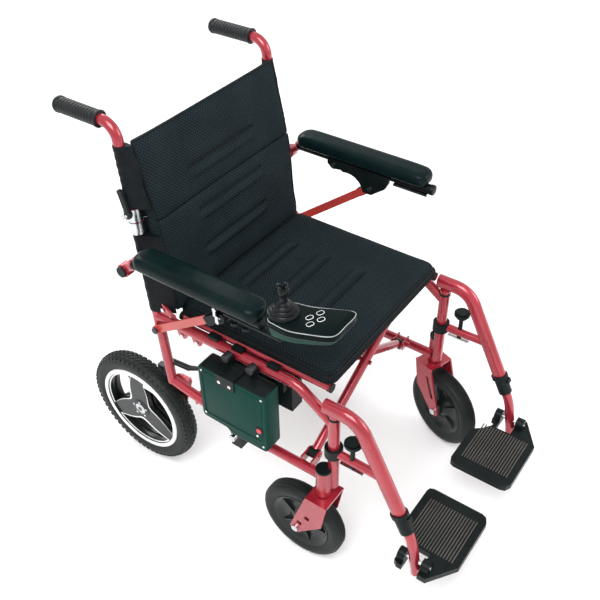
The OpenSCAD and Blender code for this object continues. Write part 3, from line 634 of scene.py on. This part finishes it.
def make_back(name, node, z0, z1, body):
    upper = z1 > 800

    def front(z):
        return post_y(z) - 12 - pad_depth(z)

    def back(z):
        return post_y(z) - 12.5

    def at_hem(z):
        return z1 - z < 0.1 if upper else z - z0 < 0.1

    zs = [z0 + (z1 - z0) * k / 10 for k in range(11)]
    # both halves run past the hinge seam, and are trimmed flush there
    seam_low, seam_high = (5, 0) if upper else (0, 5)
    outlines = []
    for z in [zs[0] - seam_low] + zs[1:-1] + [zs[-1] + seam_high]:
        inset = 4 if at_hem(z) else 0
        hx = BACK_X - inset * 0.5
        f, b = front(z) + (2.5 if z > 560 else -1.5) + inset * 0.3, back(z)
        r = min(9.0, (b - f) / 2.2)
        outlines.append([at(x, y, z) for x, y in round_rect(-hx, hx, f, b, r, 5)])
    ob = loft(name, outlines, [FABRIC_BACK, PIPING])
    inflate(ob, voxel=5.5, pressure=3.5, cap=3.0)
    relax(ob, 3)

    def shape(p):
        """Sinks the front's channels and seams, and trims the half flush at its two ends."""
        u = p.x / 219
        face = min(1.0, max(0.0, (back(p.z) - p.y) / max(6.0, back(p.z) - front(p.z) - 5)))
        channels = swell = 0
        for c in BACK_CHANNELS:
            channels += dip(p.z - c, 7) * between(p.x, -106, 106, 8) * 8.0
            puff = dip(p.z - c + 14, 14) * 6.0 + dip(p.z - c - 18, 16) * 1.5
            swell += puff * between(p.x, -108, 108, 20)
        seam = dip((1 - abs(u)) * 219 - 13, 4) * 1.2 + (dip(z1 - p.z - 12, 4) * 1.2 if upper else 0)
        sag = (1 - u * u) * 2.0
        wave = noise.noise(Vector((p.x / 70, 5.2, p.z / 70)))
        return (p.x, p.y + face ** 2 * (channels + seam - swell + wave + sag), min(max(p.z, z0), z1))

    subdivide(ob)
    move_points(ob, shape)
    parts = [ob]
    low, high = (z0, z1 - 3) if upper else (z0 + 4, z1)
    for s in (-1, 1):
        line = dense([at(s * 217, front(z) + 3.5, z) for z in np.linspace(low, high, 12)])
        parts.append(tube("edge", laid_on(ob, line), 2.0, PIPING))
    if upper:
        line = dense([at(x, front(z1) + 4.0, z1 - 3) for x in np.linspace(-216, 216, 24)])
        parts.append(tube("edge", laid_on(ob, line), 2.0, PIPING))
    channel_faces(ob, 2, BACK_CHANNELS, -105, 105)
    ob = join(parts, name)
    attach(ob, body)
    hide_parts(node)
    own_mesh(ob)


def turns_left(a, b, c):
    return (b[0] - a[0]) * (c[1] - a[1]) > (b[1] - a[1]) * (c[0] - a[0])


def hull(points):
    """Convex outline of 2-D points."""
    pts = sorted(set(points))
    out = []
    for row in (pts, pts[::-1]):
        part = []
        for p in row:
            while len(part) > 1 and not turns_left(part[-2], part[-1], p):
                part.pop()
            part.append(p)
        out += part[:-1]
    return out


def reach(outline, angle):
    """How far a convex outline round the origin reaches in a direction."""
    dx, dy = cos(angle), sin(angle)
    best = 0.0
    for (ax, ay), (bx, by) in zip(outline, outline[1:] + outline[:1]):
        den = dx * (by - ay) - dy * (bx - ax)
        if abs(den) < 1e-9:
            continue
        t = (ax * (by - ay) - ay * (bx - ax)) / den
        u = (ax * dy - ay * dx) / den
        if t > 0 and -1e-6 <= u <= 1 + 1e-6:
            best = max(best, t)
    return best


def sleeve(name, z0, z1, body, side):
    """Fabric sleeve round a post, drawn forward to the pad's edge."""
    rows = []
    seg = 56
    count = 26
    for k in range(count + 1):
        z = z0 + (z1 - z0) * k / count
        r = 12.6 + 0.5 * sin(k * 1.9 + side) * (0 < k < count)
        depth = pad_depth(z)
        shape = [(r * cos(radians(a)), r * sin(radians(a))) for a in range(0, 360, 10)]
        shape += [(-side * 11.0, -12 - depth * 0.86), (-side * 12.5, -13.0)]
        outline = hull(shape)
        row = []
        for j in range(seg):
            a = 2 * pi * j / seg
            wrinkle = 0.45 * noise.noise(Vector((cos(a) * 2, sin(a) * 2, z / 14 + side)))
            r = reach(outline, a) + wrinkle
            row.append(at(side * FRAME_X + r * cos(a), post_y(z) + r * sin(a), z))
        rows.append(row)
    ob = loft(name, rows, PIPING)
    sharp(ob)
    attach(ob, body)


def hinge_flap(name, z0, z1, body, side):
    """The upholstery's edge beside the back hinge, where there is no sleeve round the post."""
    outline = ((214.0, -7.0), (202.0, -17.0), (200.5, -14.5), (212.5, -4.5))
    rows = [[at(side * x, post_y(z) + y, z) for x, y in outline] for z in (z0, (z0 + z1) / 2, z1)]
    ob = loft(name, rows, PIPING, smooth=False)
    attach(ob, body)


# ---- armrest pads ----
PAD_X, PAD_HALF = 278, 28
PAD_ENDS = {"right": (-154.0, 145.0), "left": (-185.0, 157.0)}
PAD_Z, PAD_HIGH = 673.4, 30.6  # the pad's underside, and how high it is


def make_arm_pad(side):
    x0, x1 = SIDES[side] * PAD_X - PAD_HALF, SIDES[side] * PAD_X + PAD_HALF
    y0, y1 = PAD_ENDS[side]
    # height, inset and corner radius of each outline
    rings = ((PAD_Z, 7, 16), (674.5, 3, 19), (678, 0.8, 21), (685, 0, 22), (692, 0.3, 22), (697.5, 1.8, 21),
             (701, 5, 19), (703.2, 10, 15), (704, 16, 10))
    outlines = []
    for z, inset, r in rings:
        line = round_rect(x0 + inset, x1 - inset, y0 + inset * 1.3, y1 - inset * 1.3, r, 8)
        outlines.append([at(x, y, z) for x, y in line])
    ob = loft("arm_pad_skin_" + side, outlines, PAD)

    def shape(p):
        """Lets the pad's two ends droop."""
        v = (p.y - (y0 + y1) / 2) / ((y1 - y0) / 2)
        lift = (p.z - PAD_Z) / PAD_HIGH
        droop = 2.5 * max(0.0, abs(v) - 0.72) / 0.28
        return (p.x, p.y, p.z - lift * droop * abs(v))

    subdivide(ob, 2)
    move_points(ob, shape)
    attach(ob, "arm_" + side)
    if side == "right":
        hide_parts("arm_pad_right")
    else:
        profile = [(0, 0), (8, 0), (11, 1.2), (12, 3.5), (12, 10), (11.2, 10)]
        cap = lathe("arm_rail_cap", at(278, -198.5, 662), (0, 1, 0), profile, PLASTIC, 40)
        ob = join([ob, cap], "arm_pad_skin_left")
        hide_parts("arm_pad_left")


# ---- wheels ----
CASTER_X, CASTER_Y = 242, -261
CASTER_TRAIL = 49.6
CASTER_R = 100.8
REAR_X, REAR_Y, REAR_R = 225.5, 270, 152.5  # the radius includes the tread
OPENINGS = (30, 150, 270)  # degrees round the drive wheel
# offset, width, length, radius and skew of each row of tread blocks
TREAD = ((-16.5, 8, 11, 145.3, 0), (-9, 7, 9, 149.3, 5), (-3, 5.5, 8, 150.7, -4),
         (3, 5.5, 8, 150.7, 4), (9, 7, 9, 149.3, -5), (16.5, 8, 11, 145.3, 0))
BOX_FACES = [(0, 1, 2, 3), (4, 5, 6, 7), (0, 1, 5, 4), (1, 2, 6, 5), (2, 3, 7, 6), (3, 0, 4, 7)]


def tyre_ring(name, centre, axis, outer, bead, half, body, node, ribs=(), knobs=None):
    """A tyre by its outer radius, bead radius and half width; its tread is ribs or knobs."""
    prof = [(bead, -half + 4.5)]
    for k in range(15):
        a = radians(-100 + 200 * k / 14)
        ca, sa = cos(a), sin(a)
        bulge = (abs(ca) ** 0.75) * (1 if ca > 0 else -0.6)
        r = bead + (outer - bead) * 0.46 + (outer - bead) * 0.54 * bulge
        h = half * (abs(sa) ** 0.72) * (1 if sa > 0 else -1)
        prof.append((r, h))
    prof.append((bead, half - 4.5))
    prof.append((bead, -half + 4.5))
    if ribs:
        crown = [p for p in prof if p[0] < outer - 2.6]
        left = [p for p in crown if p[1] < 0 and p[0] >= bead][:-1]
        right = [p for p in crown if p[1] > 0]
        top = []
        for y in ribs:
            edge = outer - 0.5 * (abs(y) / half) ** 2 * 5
            top += [(edge - 2.0, y - 1.6), (edge, y - 0.9), (edge, y + 0.9), (edge - 2.0, y + 1.6)]
        prof = left + top + right + [left[0]]
    ob = lathe(name, centre, axis, prof, TYRE, 96)
    if knobs:
        ob = join([ob, knobs], name)
    stand_for(ob, node, body)


def knob_ring(centre, axis, rows, count):
    """Raised tread blocks round a tyre, in staggered rows."""
    u, v, w = basis(axis)
    verts, faces = [], []
    for row, (offset, width, length, radius, skew) in enumerate(rows):
        for k in range(count):
            a = 2 * pi * (k + 0.5 * (row % 2)) / count
            radial = u * cos(a) + v * sin(a)
            tangent = -u * sin(a) + v * cos(a)
            tilt = atan2(offset, 46)
            up = (radial * cos(tilt) + w * sin(tilt)).normalized()
            across = (w * cos(tilt) - radial * sin(tilt)).normalized()
            base = centre + radial * (radius / 1000) + w * (offset / 1000)
            n = len(verts)
            for lift, shrink in ((-2.2, 1.0), (1.6, 0.86)):
                for i, j in ((-1, -1), (1, -1), (1, 1), (-1, 1)):
                    verts.append(base + up * (lift / 1000) + across * (i * width * shrink / 2000)
                                 + tangent * ((j * length * shrink + i * skew) / 2000))
            faces += [tuple(n + i for i in face) for face in BOX_FACES]
    return new_mesh("knobs", verts, faces, TYRE, smooth=False)


def plate_with_holes(name, centre, outlines, z0, z1, mat, directions):
    """A flat plate from 2-D outlines, holes included, between two heights along the third direction."""
    curve = bpy.data.curves.new(name, "CURVE")
    curve.dimensions = "2D"
    curve.fill_mode = "BOTH"
    for line in outlines:
        sp = curve.splines.new("POLY")
        sp.points.add(len(line) - 1)
        for p, (x, y) in zip(sp.points, line):
            p.co = (x / 1000, y / 1000, 0, 1)
        sp.use_cyclic_u = True
    curve.extrude = (z1 - z0) / 2000
    curve.bevel_depth = 0.0009
    curve.bevel_resolution = 2
    ob = new_object(name, curve)
    bpy.context.view_layer.update()
    data = bpy.data.meshes.new_from_object(ob.evaluated_get(bpy.context.evaluated_depsgraph_get()))
    bpy.data.objects.remove(ob)
    ob = new_object(name, data)
    m = Matrix(directions).transposed().to_4x4()
    m.translation = centre + directions[2] * ((z0 + z1) / 2000)
    data.transform(m)
    data.materials.clear()
    data.materials.append(mat)
    sharp(ob)
    return ob


def opening(angle, inset=0.0):
    """Outline of one of the drive wheel's three openings, a broad rounded crescent."""
    pts = []
    r_out, r_in, half = 101 - inset, 37 + inset, 50.0
    for k in range(25):
        a = radians(-half + (2 * half) * k / 24)
        pts.append((r_out * cos(a), r_out * sin(a)))
    for k in range(1, 24):
        t = k / 24
        a = radians(half - 2 * half * t)
        r = r_in + (r_out - 3 - r_in) * (abs(2 * t - 1) ** 2.2)
        pts.append((r * cos(a), r * sin(a)))
    c, s = cos(radians(angle)), sin(radians(angle))
    pts = [(x - (x - 66) * inset / 60, y - y * inset / 60) for x, y in pts]
    return [(x * c - y * s, x * s + y * c) for x, y in pts]


def circle_line(r):
    n = 96
    return [(r * cos(2 * pi * k / n), r * sin(2 * pi * k / n)) for k in range(n)]


def make_rear_wheel(side):
    s = SIDES[side]
    centre = at(s * REAR_X, REAR_Y, REAR_R)
    axis = Vector((s, 0, 0))
    u, v = Vector((0, 1, 0)), Vector((0, 0, 1))
    outward = (Vector((0, s, 0)), v, axis)
    profile = [(104, -20), (113.2, -20.5), (115.8, -17), (113, -12), (110, 0), (113, 12), (115.8, 17.5),
               (114.6, 20.6), (107, 20.9), (105.4, 19.0), (104, 15.5), (103.6, -18), (104, -20)]
    # the rim's outer edge is a white line, and the hub's cap has a steel ring
    parts = [lathe("rim", centre, axis, profile, [RIM, WHITE], 96, mat_of=lambda j: 1 if 6 <= j <= 8 else 0)]
    for z0, z1 in ((4, 14), (-14, -4)):
        outlines = [circle_line(104.2)] + [opening(a) for a in OPENINGS]
        parts.append(plate_with_holes("disc", centre, outlines, z0, z1, RIM, outward))
    for a in OPENINGS:
        outlines = [opening(a, -1.9), opening(a, 0.2)]
        parts.append(plate_with_holes("line", centre, outlines, 14.4, 15.4, WHITE, outward))
    profile = [(0, 19.5), (6, 19.5), (7, 18.6), (15, 18.4), (17, 17), (24, 16.4), (27, 13.5), (30, 6),
               (30, -16), (0, -16)]
    hub = lathe("hub", centre, axis, profile, [RIM, STEEL], 48, mat_of=lambda j: 1 if j in (1, 2) else 0)
    parts.append(hub)
    for k in range(5):
        a = radians(72 * k + 18)
        p = centre + (u * cos(a) + v * sin(a)) * 0.0205
        parts.append(lathe("bolt", p, axis, [(0, 19.4), (2.6, 19.4), (3.2, 18.8), (3.2, 15)], STEEL, 16))
    ob = join(parts, "rear_rim_skin_" + side)
    stand_for(ob, "rear_rim_" + side, "rear_wheel_" + side)
    knobs = knob_ring(centre, axis, TREAD, 62)
    tyre_ring("rear_tyre_skin_" + side, centre, axis, 150.6, 113.0, 21.2, "rear_wheel_" + side,
              "rear_tyre_" + side, knobs=knobs)


def make_caster(side):
    yaw = YAW[side]
    centre = at(SIDES[side] * CASTER_X - CASTER_TRAIL * sin(yaw),
                CASTER_Y + CASTER_TRAIL * cos(yaw), CASTER_R)
    axis = Vector((cos(yaw), sin(yaw), 0))
    tyre_ring("caster_tyre_skin_" + side, centre, axis, CASTER_R, 70.5, 19.8, "caster_wheel_" + side,
              "caster_tyre_" + side, ribs=(-10, -5, 0, 5, 10))
    half = [(5.2, -28), (12, -28), (13.5, -26), (14.5, -16), (22, -13), (30, -7), (48, -5), (60, -9),
            (66, -15.5), (70.2, -16.5), (70.4, -12), (67, -4)]
    profile = half + [(r, -h) for r, h in half[::-1]] + half[:1]
    parts = [lathe("rim", centre, axis, profile, RIM, 80)]
    u, v, w = basis(axis)
    # radius, side and height of the corners of one tapered rib
    corners = ((20, -1, 4), (20, 1, 4), (62, 1, 4), (62, -1, 4),
               (20, -.5, 13), (20, .5, 13), (62, .5, 11.5), (62, -.5, 11.5))
    for k in range(5):
        a = 2 * pi * k / 5
        radial = u * cos(a) + v * sin(a)
        tangent = -u * sin(a) + v * cos(a)
        for d in (-1, 1):
            p = [centre + radial * (r / 1000) + tangent * (t * 2.6 / 1000) + w * (d * h / 1000)
                 for r, t, h in corners]
            parts.append(new_mesh("rib", p, BOX_FACES, RIM, smooth=False))
    ob = join(parts, "caster_rim_skin_" + side)
    stand_for(ob, "caster_rim_" + side, "caster_wheel_" + side)


# ---- grips and battery ----
def make_grip(side):
    bend = 34  # the radius in which the post turns back into the grip
    z = POST_TOP - bend * sin(radians(LEAN_ANGLE)) + bend
    prof = [(11.2, 0), (15.6, 0), (17, 1.2), (17, 4), (15.4, 6)]
    for k in range(12):
        y = 9 + 7.6 * k
        prof += [(15.0, y), (15.7, y + 1.6), (15.9, y + 3.8), (15.7, y + 6.0)]
    prof += [(15.0, 101), (16.6, 104), (16.8, 108), (15.0, 112), (10, 113.6), (0, 114)]
    ob = lathe("grip_skin_" + side, at(SIDES[side] * FRAME_X, 243, z), (0, 1, 0), prof, RUBBER, 48)
    stand_for(ob, "grip_" + side, "back_" + side)


def rounded(corners, radius):
    """Points round a closed outline, with each corner drawn as a curve."""
    pts = []
    n = len(corners)
    for i in range(n):
        a, b, c = (Vector(corners[(i + k) % n]) for k in (-1, 0, 1))
        r = min(radius, 0.45 * min((a - b).length, (c - b).length))
        p0, p1 = b + (a - b).normalized() * r, b + (c - b).normalized() * r
        for k in range(7):
            t = k / 6
            pts.append(p0.lerp(b, t).lerp(b.lerp(p1, t), t))
    return pts


def make_battery():
    outlines = []
    step_y, step_z = -58.0, 333.0
    for x, inset in ((-238.6, 3), (-239.6, 1), (-242, 0), (-281.5, 0), (-284, 1), (-285, 3)):
        y0, y1, z0, z1 = -152.0 + inset, 17.0 - inset, 315.0 + inset, 475.0 - inset
        corners = [(y1, z1), (y0, z1), (y0, z0), (step_y, z0), (step_y + 8, step_z - 4), (y1, step_z - 2)]
        outlines.append([at(x, q.x, q.y) for q in rounded(corners, 9.0)])
    ob = loft("battery_shell", outlines, [CASE, PLASTIC])
    # the top takes the black plastic; the sides keep the case's painted green reflection
    for face in ob.data.polygons:
        if face.normal.z > 0.6:
            face.material_index = 1
    sharp(ob, 50)
    parts = [ob]
    # on the outer face: a raised border, the button's socket ring, a lamp and four corner screws
    outer, out = -285, (-1, 0, 0)
    line = [at(outer - 0.4, y, z) for y, z in round_rect(-142, 7, 343, 465, 9)]
    parts.append(tube("ridge", line, 0.9, CASE, closed=True))
    profile = [(6.4, -1), (6.4, 1.0), (7.4, 1.6), (9.4, 1.4), (10, 0.4), (10, -1)]
    parts.append(lathe("ring", at(outer, -135, 374), out, profile, PLASTIC, 32))
    profile = [(0, 1.3), (1.8, 1.2), (2.4, 0.6), (2.6, -0.5)]
    parts.append(lathe("lamp", at(outer, -129, 354), out, profile, WHITE, 20))
    profile = [(0, 0.6), (1.2, 0.6), (1.4, 1.2), (2.6, 1.0), (3.0, 0.2), (3.0, -0.5)]
    for y, z in ((-143, 329), (-143, 465), (7, 465), (7, 343)):
        parts.append(lathe("screw", at(outer, y, z), out, profile, STEEL, 20))
    ob = join(parts, "battery_shell")
    stand_for(ob, "battery_box", "frame_right")


# ---- joystick ----
STICK = (-273.0, -196.0)
CASE_TOP = 706.0
BUTTONS = ((-258, -240), (-237.5, -248.5), (-271.5, -250.5), (-251, -259))
BUTTON_TURN = radians(-22)


def case_line(inset):
    """The joystick case's outline from above, drawn in towards its middle."""
    pts = [(-272, -168), (-300, -181), (-305, -198), (-305, -229), (-295, -258), (-280, -291), (-266, -302),
           (-240, -302.5), (-209, -302), (-200, -293), (-212, -264), (-229, -226), (-238, -194), (-252, -172)]
    middle = Vector((-262, -232))
    out = []
    for p in smooth_loop([Vector(p) for p in pts], 6):
        d = p - middle
        out.append(middle + d * (1 - inset / d.length))
    return out


def oval(half, r):
    """Outline of a key: a bar of half-length half with round ends."""
    pts = []
    n = 10
    for s, a0 in ((1, -90), (-1, 90)):
        for k in range(n + 1):
            a = radians(a0 + 180 * k / n)
            pts.append((s * half + r * cos(a), r * sin(a)))
    return pts


def make_case():
    def sunk(y, z):
        """The underside slopes up towards the front."""
        forward = min(1.0, max(0.0, (-190 - y) / 110))
        low = CASE_TOP - 15
        return z if z > low else low - (low - z) * (1 - 0.6 * forward)

    def slab(name, x0, x1, y0, y1, r, heights):
        outline = round_rect(x0, x1, y0, y1, r)
        rows = [[at(x, y, z) for x, y in outline] for z in heights]
        return loft(name, rows, PLASTIC, smooth=False)

    # depth under the top, inset and shift back of each outline, from the underside up
    levels = ((44, 20, 3.0), (41, 10, 1.8), (36, 5, 0.6), (26, 2.6, 0), (16.5, 1.6, 0), (15, 1.2, 0),
              (13.5, 0, 0), (5, 0.4, 0), (2.2, 1.6, 0), (0.6, 4.2, 0), (0, 7.5, 0))
    outlines = [[at(p.x, p.y + back, sunk(p.y, CASE_TOP - depth)) for p in case_line(inset)]
                for depth, inset, back in levels]
    ob = loft("joystick_shell", outlines, [CASE_SIDE, DECK])
    sharp(ob, 40)
    # faces below the deck take the sides' painted green reflection, the top takes the black deck
    for face in ob.data.polygons:
        if face.center.z * 1000 > CASE_TOP - 15.2:
            face.material_index = 1
    parts = [ob]
    # a dark parting line round the case, and along the top's edge a light grey cord that is a painted
    # highlight
    for name, depth, inset, r, mat in (("parting_line", 14.6, -0.1, 0.7, DARK_METAL),
                                       ("edge_highlight_line", 2.6, 1.1, 0.9, HIGHLIGHT_GREY)):
        line = [at(p.x, p.y, CASE_TOP - depth) for p in case_line(inset)]
        parts.append(tube(name, line, r, mat, closed=True, seg=6))
    # well collar under the boot, and button surrounds
    profile = [(29.5, -0.6), (29.3, 0.9), (27.5, 1.3), (23.6, 1.0), (23.2, -0.2)]
    parts.append(lathe("collar", at(*STICK, CASE_TOP), (0, 0, 1), profile, DECK, 56))
    turn = Matrix.Rotation(BUTTON_TURN, 2)
    for button in BUTTONS:
        line = [at(*(Vector(button) + turn @ Vector(q)), CASE_TOP + 0.2) for q in oval(2.4, 4.6)]
        parts.append(tube("surround", line, 0.55, WHITE, closed=True, seg=6))
    # mounting bar under the rail, its post, and two thumb screws
    parts.append(slab("bar", -285, -270, -196, -66, 3, (645.6, 650.2)))
    parts.append(slab("post", -284, -271, -195, -173, 2, (650, CASE_TOP - 36)))
    profile = [(0, -17.8), (7, -17.8), (8, -16.6), (8, -12), (7, -11), (3, -11), (3, 0)]
    for y in (-88, -114):
        parts.append(lathe("thumb_screw", at(-278, y, 646), (0, 0, 1), profile, PLASTIC, 24))
    ob = join(parts, "joystick_shell")
    stand_for(ob, "joystick_case", "arm_right")


def make_boot():
    """The ribbed rubber boot, from its foot on the case up to its neck."""
    profile = [(0, -6), (20, -6), (22.4, -2), (27.6, 0.6), (28.6, 2.4), (28.2, 4.4), (24.6, 5.6),
               (22.8, 7.0), (23.6, 8.8), (23.2, 10.6), (19.4, 12.0), (17.6, 13.4), (18.4, 15.2), (18.0, 17.0),
               (14.4, 18.6), (12.4, 20.2), (13.0, 22.0), (12.2, 24.0), (9.2, 26.2), (8.6, 28), (0, 28)]
    ob = lathe("gaiter_skin", at(*STICK, CASE_TOP + 0.5), (0, 0, 1), profile, BOOT, 56)
    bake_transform(ob)
    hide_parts("joystick_gaiter")


def make_lever():
    def ring(h, r, wave=0.0):
        """One round of the knob at height h; the wave gives it four lobes."""
        row = []
        for k in range(72):
            a = 2 * pi * k / 72
            lobe = 1 + wave * cos(4 * a)
            row.append(at(STICK[0] + r * cos(a) * lobe, STICK[1] + r * sin(a) * lobe, CASE_TOP + h))
        return row

    lobed = ((27, 7.6), (29, 8.0), (33, 7.4), (38, 7.6), (42, 8.9), (46, 10.4), (49, 10.8), (52, 10.6),
             (53.5, 10.2))
    knob = loft("stick", [ring(h, r, 0.03) for h, r in lobed] + [ring(53.5, 8.6), ring(49, 6.2)], BOOT)
    sharp(knob)
    parts = [knob]
    profile = [(4.0, 0), (4.2, 6), (4.0, 10), (3.0, 12.2), (0, 12.8)]
    for k in range(4):
        a = radians(90 * k)
        p = at(STICK[0] + 7.6 * cos(a), STICK[1] + 7.6 * sin(a), CASE_TOP + 48)
        splay = (0.12 * cos(a), 0.12 * sin(a), 1)
        parts.append(lathe("prong", p, splay, profile, BOOT, 20))
    ob = join(parts, "joystick_lever_skin")
    stand_for(ob, "joystick_stick", "stick")


def make_strips():
    """A dark cord along each top rail, in the slit beside the seat rail."""
    for side, s in SIDES.items():
        line = [at(s * 216.2, -150 + 20 * k, 492.4) for k in range(13)]
        ob = tube("rail_strip_" + side, line, 1.25, RUBBER, seg=10)
        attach(ob, "frame_" + side)


# ---- CAD nodes keep their shape and get their finish ----
BRACE_X, BRACE_Z = 196, 267  # where the cross brace turns on the side frames


def off_tube(p):
    """How far sideways a point lies from the middle of the side frame's tubes."""
    return abs(abs(p[0]) - FRAME_X)


def off_post(p):
    """How far a point lies from a back post's axis."""
    return hypot(off_tube(p), p[1] - post_y(p[2]))


def finish_frame(side):
    hinge_y = post_y(HINGE_Z) + 25
    paint("upper_frame_" + side, RED,
          (STEEL, lambda p: off_tube(p) > 4.9 and 40 < p[1] < 165 and (455 < p[2] < 474.5 or p[2] > 497.5)))
    paint("lower_frame_" + side, RED,
          (STEEL, lambda p: HINGE_Z - 28.5 < p[2] < HINGE_Z + 8.5 and off_post(p) > 11.3),
          (STEEL, lambda p: abs(p[1] - hinge_y) < 4 and abs(p[2] - HINGE_Z) < 3.5 and off_tube(p) > 5),
          (DARK_METAL, lambda p: 245 < abs(p[0]) < 252 and abs(p[2] - 462) < 9),
          (DARK_METAL, lambda p: BRACE_X - 6 < abs(p[0]) < 191.5 and abs(p[2] - BRACE_Z) < 5.2))
    # the right side alone carries the battery's clip plate, clamp knobs and lower clamp
    paint("frame_plugs_" + side, PLASTIC,
          (STEEL, lambda p: p[0] < -285.05 and abs(p[2] - 462) < 4.2 and abs(abs(p[1] + 55) - 13) < 4.3),
          (DARK_METAL, lambda p: p[0] < -255 and min(abs(p[1] + 98), abs(p[1] + 37)) < 9.5 and p[2] > 490),
          (STEEL, lambda p: -277 < p[0] < -262.1 and p[2] < 293))
    paint("motor_" + side, DARK_METAL)
    paint("back_tube_" + side, RED,
          (STEEL, lambda p: HINGE_Z - 8.5 < p[2] < HINGE_Z + 28.5 and off_post(p) > 11.3))
    paint("back_lever_" + side, PLASTIC)


def finish_armrest(side):
    # the rail's top under the pad takes the black plastic: painted shade under the pad
    paint("arm_rail_" + side, RED, (PLASTIC, lambda p: -176 < p[1] < 120 and p[2] > 648))
    paint("arm_bracket_" + side, PLASTIC, (STEEL, lambda p: abs(p[0]) > 265.05 or abs(p[0]) < 255.9))
    paint("arm_strut_" + side, ORANGE, (PLASTIC, lambda p: abs(p[0]) > 266 and p[1] < -8),
          (STEEL, lambda p: abs(p[0]) < 245 and hypot(p[1] - 166, p[2] - 462) < 5))
    paint("arm_latch_" + side, STEEL)


def finish_front(side, s):
    def along_axle(p):
        return abs((p[0] - s * CASTER_X) * cos(YAW[side]) + (p[1] - CASTER_Y) * sin(YAW[side]))

    paint("hanger_" + side, RED, (STEEL, lambda p: hypot(off_tube(p), p[1] + 274) < 8.3 and p[2] < 449))
    paint("hanger_collar_" + side, PLASTIC)
    paint("footrest_tube_" + side, RED,
          (STEEL, lambda p: abs(p[2] - 150) < 4.4 and hypot(abs(p[0]) - 230, p[2] - 150) < 4.2))
    # the ridges' tops take the painted highlight
    paint("footplate_" + side, PLASTIC, (RIDGE_HIGHLIGHT, lambda p: p[2] > 142.9 and abs(p[0]) < 191))
    paint("latch_knob_" + side, PLASTIC, (STEEL, lambda p: p[2] < 335.2))
    paint("caster_fork_" + side, RED,
          (WHITE, lambda p: 222.05 < p[2] < 225.5),
          (STEEL, lambda p: p[2] > 225.5 or p[2] < 110 and along_axle(p) > 34.1))


def finish_cad():
    for side, s in SIDES.items():
        finish_frame(side)
        finish_armrest(side)
        finish_front(side, s)
    for n, s in (("cross_brace_a", -1), ("cross_brace_b", 1)):
        paint(n, RED, (PLASTIC, lambda p: abs(p[0] - s * BRACE_X) < 14 and abs(p[2] - BRACE_Z) < 14),
              (PLASTIC, lambda p: (p[1] < -251.9 or p[1] > 111.9) and p[2] > 486))
    paint("controller_box", PLASTIC)
    paint("controller_cables", RUBBER)
    paint("power_button", BUTTON_RED)
    for k in range(1, 5):
        paint("panel_button_%d" % k, DECK)
    bevelled("controller_box", 4)
    for side in SIDES:
        for n, w in (("motor_", 2), ("footplate_", 1.2), ("arm_bracket_", 1), ("hanger_collar_", 0.8),
                     ("latch_knob_", 1.2), ("frame_plugs_", 0.8)):
            bevelled(n + side, w)


# ---- stage and camera ----
def area_light(name, where, to, size, power):
    light = bpy.data.lights.new(name, "AREA")
    light.energy = power
    light.shape = "RECTANGLE"
    light.size, light.size_y = size
    ob = new_object(name, light)
    ob.location = where
    ob.rotation_euler = (Vector(to) - Vector(where)).to_track_quat("-Z", "Y").to_euler()


def make_stage():
    floor_mat = material("studio_floor", (0.93, 0.93, 0.93), 0.7)
    vary(floor_mat, (0.92, 0.92, 0.92), (0.94, 0.94, 0.94), 0.6)
    size = 14.0
    corners = [(-size, -size, 0), (size, -size, 0), (size, size, 0), (-size, size, 0)]
    new_mesh("floor", corners, [(0, 1, 2, 3)], floor_mat, smooth=False)
    world = bpy.data.worlds.new("studio")
    bpy.context.scene.world = world
    world.use_nodes = True
    background = world.node_tree.nodes["Background"]
    background.inputs["Color"].default_value = (1, 1, 1, 1)
    background.inputs["Strength"].default_value = 0.9
    area_light("key", (-1.6, -0.6, 2.9), (0, 0, 0.5), (1.6, 1.6), 75)
    area_light("fill", (1.8, -2.6, 1.9), (0, 0, 0.45), (2.4, 1.6), 45)
    area_light("back", (1.2, 2.6, 2.4), (0, 0, 0.5), (2.0, 1.0), 40)
    bpy.context.scene.view_settings.view_transform = "Standard"


def make_camera():
    """The photo's own camera, as it was fitted: direction, roll, lens, aim and distance."""
    az, el, roll = (radians(a) for a in (-54.22, 39.93, -0.97))
    aim = at(51.67, 2.59, 416.46)
    distance = 1.90194
    back = Vector((sin(az) * cos(el), -cos(az) * cos(el), sin(el)))
    right = (-back).cross(Vector((0, 0, 1))).normalized()
    up = right.cross(-back)
    r = right * cos(roll) + up * sin(roll)
    u = -right * sin(roll) + up * cos(roll)
    cam = bpy.data.cameras.new("camera")
    cam.sensor_width = 36
    cam.lens = 49.8516
    ob = new_object("camera", cam)
    m = Matrix((r, u, back)).transposed().to_4x4()
    m.translation = aim + back * distance
    ob.matrix_world = m
    bpy.context.scene.camera = ob


make_seat()
make_back("back_pad_skin_lower", "back_pad_lower", 510.4, HINGE_Z + 2.9, "frame_right")
make_back("back_pad_skin_upper", "back_pad_upper", HINGE_Z + 3.1, 892.4, "back_right")
for side, s in SIDES.items():
    sleeve("back_sleeve_" + side, HINGE_Z + 30, 884, "back_" + side, s)
    sleeve("post_sleeve_" + side, 505, HINGE_Z - 30, "frame_" + side, s)
    make_arm_pad(side)
    make_rear_wheel(side)
    make_caster(side)
    make_grip(side)
make_battery()
make_case()
make_boot()
make_lever()
for side, s in SIDES.items():
    hinge_flap("hinge_flap_low_" + side, HINGE_Z - 38, HINGE_Z - 1, "frame_" + side, s)
    hinge_flap("hinge_flap_high_" + side, HINGE_Z + 1, HINGE_Z + 31, "back_" + side, s)
make_strips()
finish_cad()
make_stage()
make_camera()
